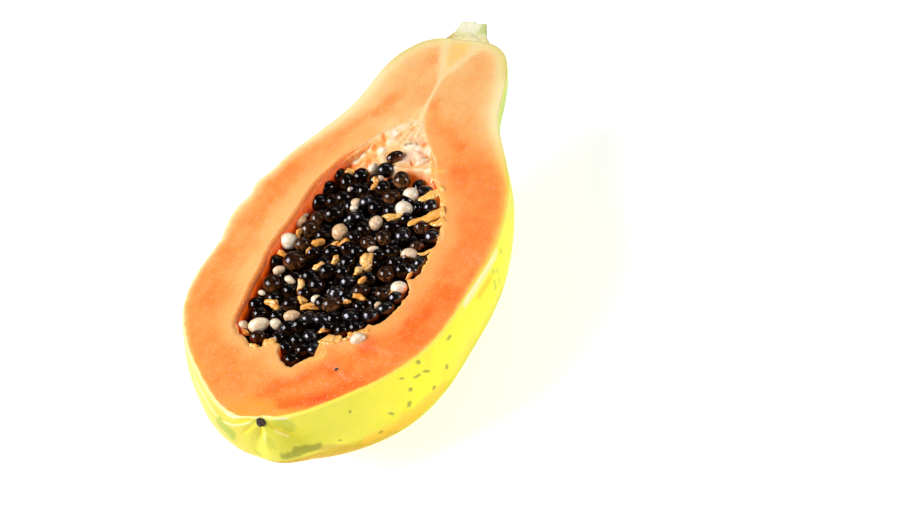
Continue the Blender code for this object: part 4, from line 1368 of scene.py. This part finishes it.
class Paint:
    """One material with its Principled shader, and the colour laid on so far."""

    def __init__(self, name):
        self.material = bpy.data.materials.new(name)
        self.material.use_nodes = True
        self.tree = self.material.node_tree
        self.place = self.node("TexCoord", out="Object")
        self.colour = None

    def node(self, kind, inputs=(), out=0, **settings):
        return new_node(self.tree, kind, inputs, out, **settings)

    def read(self, *names):
        """The attributes of the mesh with these names."""
        return [self.node("Attribute", out="Fac", attribute_name=name) for name in names]

    def parts(self, vector):
        """The x, y and z of a vector."""
        split = self.node("SeparateXYZ", (vector,)).socket.node
        return [Field(output) for output in split.outputs]

    def noise(self, size, detail=2.0, rough=0.5, stretch=(1.0, 1.0, 1.0), warp=0.0):
        """Noise from 0 to 1, with forms about this many millimetres wide."""
        place = self.node("Mapping", {"Scale": stretch, "Vector": self.place})
        inputs = {"Vector": place, "Scale": 1.0 / (size * MM), "Detail": detail}
        inputs.update({"Roughness": rough, "Distortion": warp})
        return self.node("TexNoise", inputs, "Fac")

    def cells(self, size):
        """The distance from the middle of the nearest cell, in cells."""
        inputs = {"Vector": self.place, "Scale": 1.0 / (size * MM)}
        return self.node("TexVoronoi", inputs, "Distance")

    def lay(self, share, colour):
        """Covers this share of the colour so far by another."""
        self.colour = share.mix(self.colour, colour)

    def finish(self, **values):
        """Sets the shader's sockets, with _ for a space in their names, and gives the material."""
        shader = self.tree.nodes["Principled BSDF"]
        for label, value in {"Base_Color": self.colour, **values}.items():
            put(shader.inputs[label.replace("_", " ")], value)
        return self.material


def paint_flesh():
    paint = Paint("papaya_flesh")
    rim, hollow, band_mm, deep, strand, fan, wedge = paint.read(
        "rim_mm", "hollow_mm", "band_mm", "deep", "strand", "fan", "wedge"
    )
    web, stem_end, edge_pulp, bevel, scuff, tip, golden = paint.read(
        "web", "stem_end", "edge_pulp", "bevel", "scuff", "tip", "golden"
    )
    right = paint.parts(paint.place)[0].spread(-0.003, 0.008)
    mottle = paint.noise(15.0, 5.0, 0.55)
    patches = paint.noise(3.6, 5.0, 0.65, warp=0.6)
    brushed = paint.noise(2.6, 5.0, 0.65, stretch=(1.0, 0.3, 1.0))
    fine = paint.noise(0.9, 3.0, 0.6)

    tone = (mottle - 0.5) * 0.55 + deep * 0.4 + (patches - 0.5) * 0.3 + (brushed - 0.5) * 0.4 + 0.44
    paint.colour = tone.ramp(
        (0.0, (255, 196, 120)),
        (0.3, (254, 169, 88)),
        (0.55, (254, 148, 62)),
        (0.8, (253, 118, 30)),
        (1.0, (250, 90, 10)),
    )
    near = (hollow + (mottle - 0.5) * 6.0).spread(2.0, 9.0, 0.6, 0.0)
    above = hollow.spread(-1.6, -0.3)
    paint.lay(near * above, right.mix((254, 192, 108), (254, 182, 96)))
    lip = (hollow + fine * 0.8).spread(0.4, 1.6, 0.5, 0.0)
    paint.lay(lip * above, (254, 196, 124))
    # Darker orange towards the cavity, where the cut face rounds off into it on the left.
    inner = hollow + (fine - 0.5) * 1.4
    worn = inner.spread(-0.4, 2.6).ramp(
        (0.0, (214, 84, 6)), (0.35, (236, 126, 28)), (0.7, (250, 158, 66)), (1.0, (254, 202, 134))
    )
    paint.lay(bevel * 0.9, worn)

    # The rim under the skin fades through pale and creamy to yellow.
    share = (rim + (patches - 0.5) * 1.6) / band_mm
    right = right * (1.0 - stem_end)
    paint.lay(share.spread(0.25, 1.25, 1.0, 0.0) * 0.8, right.mix((254, 208, 132), (254, 180, 76)))
    golden = golden * patches.spread(0.3, 0.6, 0.4, 1.0) * deep.spread(0.5, 1.0, 1.0, 0.2)
    paint.lay(golden, (254, 164, 48))
    paint.lay(share.spread(0.1, 0.62, 1.0, 0.0) * 0.9, right.mix((254, 236, 168), (254, 212, 82)))
    ripe = right.mix((254, 240, 130), (253, 234, 88))
    paint.lay(rim.spread(0.1, 0.7, 0.9, 0.0), stem_end.mix(ripe, (228, 232, 164)))
    paint.lay(stem_end * share.spread(0.0, 0.5, 0.55, 0.0) * tip, (214, 196, 70))

    fibre = paint.noise(0.7, stretch=(1.0, 0.12, 1.0))
    paint.lay(fan * brushed.spread(0.3, 0.62, 0.25, 0.95) * 0.75, (254, 218, 148))
    paint.lay(wedge * 0.8, (254, 208, 110))
    paint.lay(strand * 0.8, fibre.mix((254, 216, 138), (255, 236, 176)))
    spongy = paint.noise(1.6, 3.0, 0.6, warp=0.8)
    paint.lay(web, spongy.ramp((0.3, (248, 140, 50)), (0.5, (252, 180, 96)), (0.68, (255, 216, 156))))
    torn = fine.ramp((0.3, (234, 150, 44)), (0.5, (250, 186, 84)), (0.7, (255, 216, 140)))
    paint.lay(edge_pulp * 0.85, torn)

    # Painted shade: the cavity's wall darkens from orange to deep red with depth; on the right its deeper
    # part is painted a lighter orange.
    shade = hollow.spread(-0.7, -9.0).ramp(
        (0.0, (244, 120, 14)), (0.12, (232, 84, 4)), (0.35, (200, 44, 2)), (1.0, (120, 12, 2))
    )
    wall = hollow.spread(-0.45, -1.1)
    far = right * hollow.spread(-5.0, -1.0, 0.0, 0.6)
    paint.lay(wall * (1.0 - web), far.mix(shade, (250, 150, 60)))

    # Painted glow: the wall near the edge of the cut emits orange light, standing in for light that comes
    # through the wet flesh behind it.
    painted_glow = wall * hollow.spread(-6.0, -0.8, 0.0, 0.35)

    # Painted glints: pale specks where the wet grain glistens, sparse over the whole cut face and thick in
    # the scuffs.
    chosen = paint.noise(2.4).spread(0.44, 0.58).at_least(scuff)
    painted_glint = paint.cells(0.8).spread(0.15, 0.3, 1.0, 0.0) * chosen
    paint.lay(scuff * 0.2, (255, 190, 140))
    paint.lay(painted_glint * (scuff * 0.95).at_least(0.5), (255, 230, 196))
    grain = painted_glint.bump(0.15, 0.8, fine.bump(0.14, 0.7))
    return paint.finish(
        Roughness=fine.spread(0.3, 0.7, 0.34, 0.5),
        Normal=patches.bump(0.5, 0.35, grain),
        Subsurface_Weight=0.35,
        Subsurface_Radius=(1.0, 0.32, 0.1),
        Subsurface_Scale=0.0028,
        Specular_IOR_Level=wall.spread(0.0, 1.0, 0.5, 0.2),
        Coat_Weight=wall.spread(0.0, 1.0, 0.25, 0.0),
        Coat_Roughness=0.22,
        Emission_Color=(255, 90, 4),
        Emission_Strength=painted_glow * (1.0 - web),
    )


def paint_peel():
    paint = Paint("papaya_peel")
    green, olive, brown, speck, crease_shade, blush, pale = paint.read(
        "green", "olive", "brown", "speck", "crease_shade", "blush", "pale"
    )
    across, along, height = paint.parts(paint.place)
    mottle = paint.noise(22.0, 4.0, 0.55)
    patches = paint.noise(6.0, 5.0, 0.6, warp=0.5)
    fine = paint.noise(0.8, 3.0, 0.6)
    tone = mottle + (patches - 0.5) * 0.35
    paint.colour = tone.ramp(
        (0.25, (230, 228, 20)), (0.45, (244, 234, 16)), (0.6, (252, 240, 20)), (0.8, (254, 228, 30))
    )
    blossom = (along + mottle * 0.02).spread(-0.03, -0.058)
    paint.lay(blossom * 0.85, patches.mix((214, 209, 44), (234, 222, 68)))
    left = along.spread(0.0, -0.03) * across.spread(0.0, -0.018)
    paint.lay(left * 0.85, patches.mix((196, 160, 46), (214, 174, 74)))
    paint.lay(along.spread(-0.071, -0.0785, 0.0, 0.45), (176, 170, 50))
    paint.lay((along + mottle * 0.04).spread(0.03, 0.1) * 0.75, (134, 190, 76))

    # Painted shade: the skin is painted a duller, darker gold lower down and where it faces the floor.
    down = paint.parts(paint.node("NewGeometry", out="Normal"))[2].spread(-0.12, -0.42)
    under = height.spread(0.032, 0.014).at_least(down) * tone.spread(0.3, 0.6, 0.6, 1.0)
    paint.lay(under * 0.85, along.spread(-0.055, -0.035).mix((184, 140, 30), (196, 190, 42)))
    paint.lay(blush, (250, 178, 50))
    paint.lay(paint.noise(0.8, 4.0, 0.7).spread(0.4, 0.65, 0.0, 0.16), (252, 240, 120))
    edge = height.spread((CUT_HEIGHT - 0.5) * MM, (CUT_HEIGHT - 1.6) * MM, 0.8, 0.0)
    paint.lay(edge, across.spread(0.0, 0.018).mix((254, 240, 140), (253, 236, 84)))
    # Painted shade: golden in the pressed creases round the blossom scar.
    paint.lay(crease_shade, (250, 208, 10))
    paint.lay(pale.spread(0.2, 0.75), fine.mix((252, 228, 120), (255, 240, 160)))
    paint.lay(pale.spread(1.1, 1.7), (255, 252, 228))
    paint.lay(green, fine.mix((140, 152, 28), (176, 182, 52)))
    paint.lay(olive, fine.mix((136, 136, 20), (170, 166, 40)))
    paint.lay(brown, (196, 160, 46))
    paint.lay(speck * 0.8, (92, 96, 40))
    return paint.finish(
        Roughness=patches.spread(0.3, 0.7, 0.36, 0.46),
        Normal=patches.bump(0.5, 0.25, fine.bump(0.05, 0.4)),
        Subsurface_Weight=0.12,
        Subsurface_Radius=(1.0, 0.7, 0.15),
        Subsurface_Scale=0.0015,
        Specular_IOR_Level=height.spread(0.022, 0.04, 0.1, 0.26) * down.spread(0.0, 1.0, 1.0, 0.1),
    )


def paint_seed():
    paint = Paint("seed_core")
    shade, naked = paint.read("shade", "naked")
    fine = paint.noise(0.5, 3.0, 0.6)
    paint.colour = fine.mix((3, 2, 2), (18, 10, 7))
    paint.lay(shade.spread(0.7, 1.0, 0.0, 0.5), (40, 24, 14))
    return paint.finish(
        Roughness=naked.spread(0.0, 1.0, 0.4, 0.12),
        Specular_IOR_Level=naked.spread(0.0, 1.0, 0.1, 0.6),
        Normal=fine.bump(0.1, 0.6),
        Coat_Weight=naked.spread(0.0, 1.0, 0.0, 0.8),
        Coat_Roughness=0.04,
    )


def paint_coat():
    paint = Paint("seed_coat")
    brown, low, shade = paint.read("brown", "low", "shade")
    cloud = paint.noise(1.1, 3.0, 0.6, warp=0.5)
    # Painted halo: the coat is clouded towards its equator, where the seeds mostly show their edges from
    # above, standing in for the brown rim that light through the thicker gel gives them. The cloud noise is
    # the coat's own cloudiness.
    clear = low.spread(0.4, 0.95) * cloud.spread(0.35, 0.65) * 0.22
    cloudy = cloud.spread(0.36, 0.62) * low.spread(0.0, 0.9, 0.1, 0.5)
    paint.colour = shade.mix((140, 78, 34), (186, 122, 66))
    return paint.finish(Transmission_Weight=1.0 - (clear + cloudy * brown), IOR=1.5, Roughness=0.02)


def paint_pale_seed():
    paint = Paint("pale_seed")
    tan, shade = paint.read("tan", "shade")
    fine = paint.noise(0.7, 4.0, 0.6, warp=0.6)
    rough = paint.noise(1.6, 3.0, 0.6, warp=0.8)
    clean = fine.ramp((0.3, (246, 216, 158)), (0.5, (255, 242, 204)), (0.68, (255, 252, 234)))
    old = fine.ramp((0.3, (160, 100, 44)), (0.5, (222, 166, 96)), (0.68, (250, 216, 160)))
    paint.colour = tan.mix(clean, old)
    paint.lay(rough.spread(0.55, 0.35, 0.0, 0.4), (218, 160, 90))
    paint.lay(shade * 0.12, (232, 170, 100))
    return paint.finish(
        Roughness=0.3,
        Normal=rough.bump(0.6, 0.5, fine.bump(0.25, 0.6)),
        Subsurface_Weight=0.3,
        Subsurface_Radius=(1.0, 0.7, 0.45),
        Subsurface_Scale=0.0012,
        Coat_Weight=0.8,
        Coat_Roughness=0.06,
    )


def paint_pulp():
    paint = Paint("pulp")
    fine = paint.noise(0.9, 4.0, 0.6, warp=0.4)
    light = fine.ramp((0.3, (240, 172, 72)), (0.5, (252, 198, 98)), (0.68, (255, 226, 152)))
    strong = fine.ramp((0.3, (234, 120, 14)), (0.5, (250, 154, 36)), (0.68, (255, 190, 80)))
    paint.colour = paint.read("orange")[0].mix(light, strong)
    return paint.finish(
        Roughness=0.25,
        Normal=fine.bump(0.2, 0.5),
        Subsurface_Weight=0.12,
        Subsurface_Radius=(1.0, 0.45, 0.15),
        Subsurface_Scale=0.0007,
        Coat_Weight=0.7,
        Coat_Roughness=0.06,
    )


def paint_web():
    paint = Paint("pulp_web")
    light, pink, grey, low = paint.read("light", "pink", "grey", "low")
    fine = paint.noise(1.1, 4.0, 0.6, warp=0.5)
    cloud = paint.noise(3.0, 3.0, 0.55, warp=0.4)
    lifted = light + (fine - 0.5) * 0.5 + (cloud - 0.5) * 0.9
    paint.colour = lifted.ramp(
        (0.0, (250, 140, 56)), (0.3, (252, 176, 96)), (0.6, (253, 204, 134)), (1.0, (254, 230, 184))
    )
    # Near white on the lightest places: partly pale pulp, partly painted highlight.
    paint.lay(lifted.spread(0.9, 1.35, 0.0, 0.85), (255, 250, 234))
    paint.lay(pink * 0.8, fine.mix((250, 190, 150), (254, 220, 190)))
    # Painted shade: a darker orange where the pulp lies low; the same places get a painted orange glow from
    # the emission below.
    shade = cloud.ramp((0.35, (226, 92, 2)), (0.5, (244, 126, 20)), (0.65, (254, 168, 66)))
    paint.lay(low * 0.9, shade)
    paint.lay(grey, (120, 104, 70))
    return paint.finish(
        Roughness=0.4,
        Normal=fine.bump(0.25, 0.5),
        Subsurface_Weight=0.3,
        Subsurface_Radius=(1.0, 0.6, 0.35),
        Subsurface_Scale=0.0006,
        Coat_Weight=0.12,
        Coat_Roughness=0.2,
        Emission_Color=(255, 100, 14),
        Emission_Strength=low * 0.22,
    )


def paint_stub():
    paint = Paint("stem_stub")
    lobe, base, foot = paint.read("lobe", "base", "foot")
    fibre = paint.noise(0.8, 4.0, 0.6, stretch=(1.0, 0.25, 1.0))
    paint.colour = fibre.mix((236, 230, 176), (252, 248, 218))
    paint.lay(paint.noise(3.5, 3.0).spread(0.45, 0.65, 0.0, 0.5), (226, 226, 160))
    paint.lay(foot * fibre.spread(0.3, 0.7, 0.9, 0.5), (228, 212, 128))
    paint.lay(lobe * 0.75, (190, 204, 96))
    paint.lay(base * 0.75, (196, 156, 76))
    return paint.finish(
        Roughness=0.55,
        Normal=fibre.bump(0.35, 0.8),
        Subsurface_Weight=0.15,
        Subsurface_Radius=(1.0, 0.9, 0.5),
        Subsurface_Scale=0.001,
    )


def paint_scar():
    paint = Paint("blossom_scar")
    fine = paint.noise(0.35, 4.0, 0.65)
    paint.colour = fine.ramp((0.35, (20, 11, 6)), (0.55, (66, 42, 22)), (0.7, (158, 122, 80)))
    return paint.finish(Roughness=0.6, Normal=fine.bump(0.3, 0.9))


def paint_bed():
    paint = Paint("seed_bed_and_shade")
    fine = paint.noise(1.2, 4.0, 0.6)
    # Near black: partly the dark heap, partly painted shade between the seeds.
    paint.colour = fine.mix((6, 3, 2), (22, 11, 6))
    return paint.finish(Roughness=0.6, Specular_IOR_Level=0.1, Normal=fine.bump(0.4, 0.8))


def aim(obj, place, target):
    """Puts an object at a place and turns its -Z axis to a target, in metres."""
    obj.location = place
    obj.rotation_mode = "QUATERNION"
    obj.rotation_quaternion = (Vector(target) - Vector(place)).to_track_quat("-Z", "Y")


def softbox(name, direction, distance, size, radiance, colour):
    """A rectangular lamp that faces the fruit. Its brightness is given as radiance."""
    lamp = bpy.data.lights.new(name, "AREA")
    lamp.shape = "RECTANGLE"
    lamp.size, lamp.size_y = size
    lamp.energy = radiance * size[0] * size[1] * math.pi
    lamp.color = colour
    box = add_object(name, lamp)
    middle = Vector(to_world([(0.0, FRUIT_MIDDLE, 0.0)])[0])
    aim(box, middle + Vector(direction).normalized() * distance, middle)
    box.visible_camera = False


def make_floor():
    """A wide pale floor."""
    side = FLOOR_SIDE / 2.0
    points = [(-side, -side, 0.0), (side, -side, 0.0), (side, side, 0.0), (-side, side, 0.0)]
    mesh = bpy.data.meshes.new("floor")
    mesh.from_pydata(points, [], [(0, 1, 2, 3)])
    floor = add_object("floor", mesh)
    paint = Paint("floor")
    paint.colour = (0.92, 0.92, 0.92, 1.0)
    white = (1.0, 1.0, 1.0, 1.0)
    paint.finish(Roughness=0.9, Specular_IOR_Level=0.1, Emission_Color=white, Emission_Strength=0.6)
    mesh.materials.append(paint.material)


def make_light():
    """Two softboxes at the sides of the camera, one above, and a pale world."""
    left = 0.5 * CAMERA_BACK - 0.84 * CAMERA_RIGHT + 0.22 * CAMERA_UP
    right = 0.5 * CAMERA_BACK + 0.84 * CAMERA_RIGHT + 0.2 * CAMERA_UP
    softbox("softbox_left", left, 1.1, (0.86, 0.7), 11.4, (0.88, 0.88, 1.0))
    softbox("softbox_right", right, 1.1, (0.3, 0.8), 9.0, (0.84, 0.86, 1.0))
    softbox("softbox_top", (0.1, 0.8, 1.0), 1.5, (1.2, 0.5), 1.2, (1.0, 0.98, 0.95))
    world = bpy.data.worlds.new("studio")
    world.use_nodes = True
    bpy.context.scene.world = world
    tree = world.node_tree
    dim = tree.nodes["Background"]
    dim.inputs["Color"].default_value = (1.0, 1.0, 1.0, 1.0)
    dim.inputs["Strength"].default_value = WORLD_STRENGTH
    bright = new_node(tree, "Background", {"Color": (1.0, 1.0, 1.0, 1.0)})
    seen = new_node(tree, "LightPath", out="Is Camera Ray")
    chosen = new_node(tree, "MixShader", (seen, Field(dim.outputs[0]), bright))
    put(tree.nodes["World Output"].inputs["Surface"], chosen)


def make_camera():
    lens = bpy.data.cameras.new("camera")
    lens.sensor_fit = "HORIZONTAL"
    lens.sensor_width = SENSOR_WIDTH
    lens.lens = SENSOR_WIDTH * FOCAL_PIXELS / PICTURE[0]
    lens.clip_end = 20.0
    camera = add_object("camera", lens)
    turn = Matrix([CAMERA_RIGHT, CAMERA_UP, CAMERA_BACK]).transposed()
    camera.matrix_world = Matrix.Translation(to_world([CAMERA_PLACE])[0]) @ turn.to_4x4()
    bpy.context.scene.camera = camera


def main():
    make_camera()
    bpy.context.scene.view_settings.view_transform = "Standard"
    make_light()
    make_floor()

    fruit = make_fruit(paint_peel(), paint_flesh())
    seeds, coats = make_seeds(paint_seed(), paint_coat())
    bed = make_bed(paint_bed())
    pale = make_pale_seeds(paint_pale_seed())
    bits = make_pulp_bits(paint_pulp())
    web = make_web(paint_web())
    scar = make_scar(paint_scar())
    stub = make_stub(paint_stub())
    slots = (
        (fruit, "flesh"), (seeds, "seed_coat"), (coats, "seed_coat"), (bed, "seed_coat"),
        (pale, "pale_seed"), (bits, "pulp"), (web, "pulp"), (scar, "scar"), (stub, "stem"),
    )
    for piece, slot in slots:
        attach(piece, "root")
    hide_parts("fruit_half")
    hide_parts("seed_mass")
    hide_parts("stem_stub")


main()
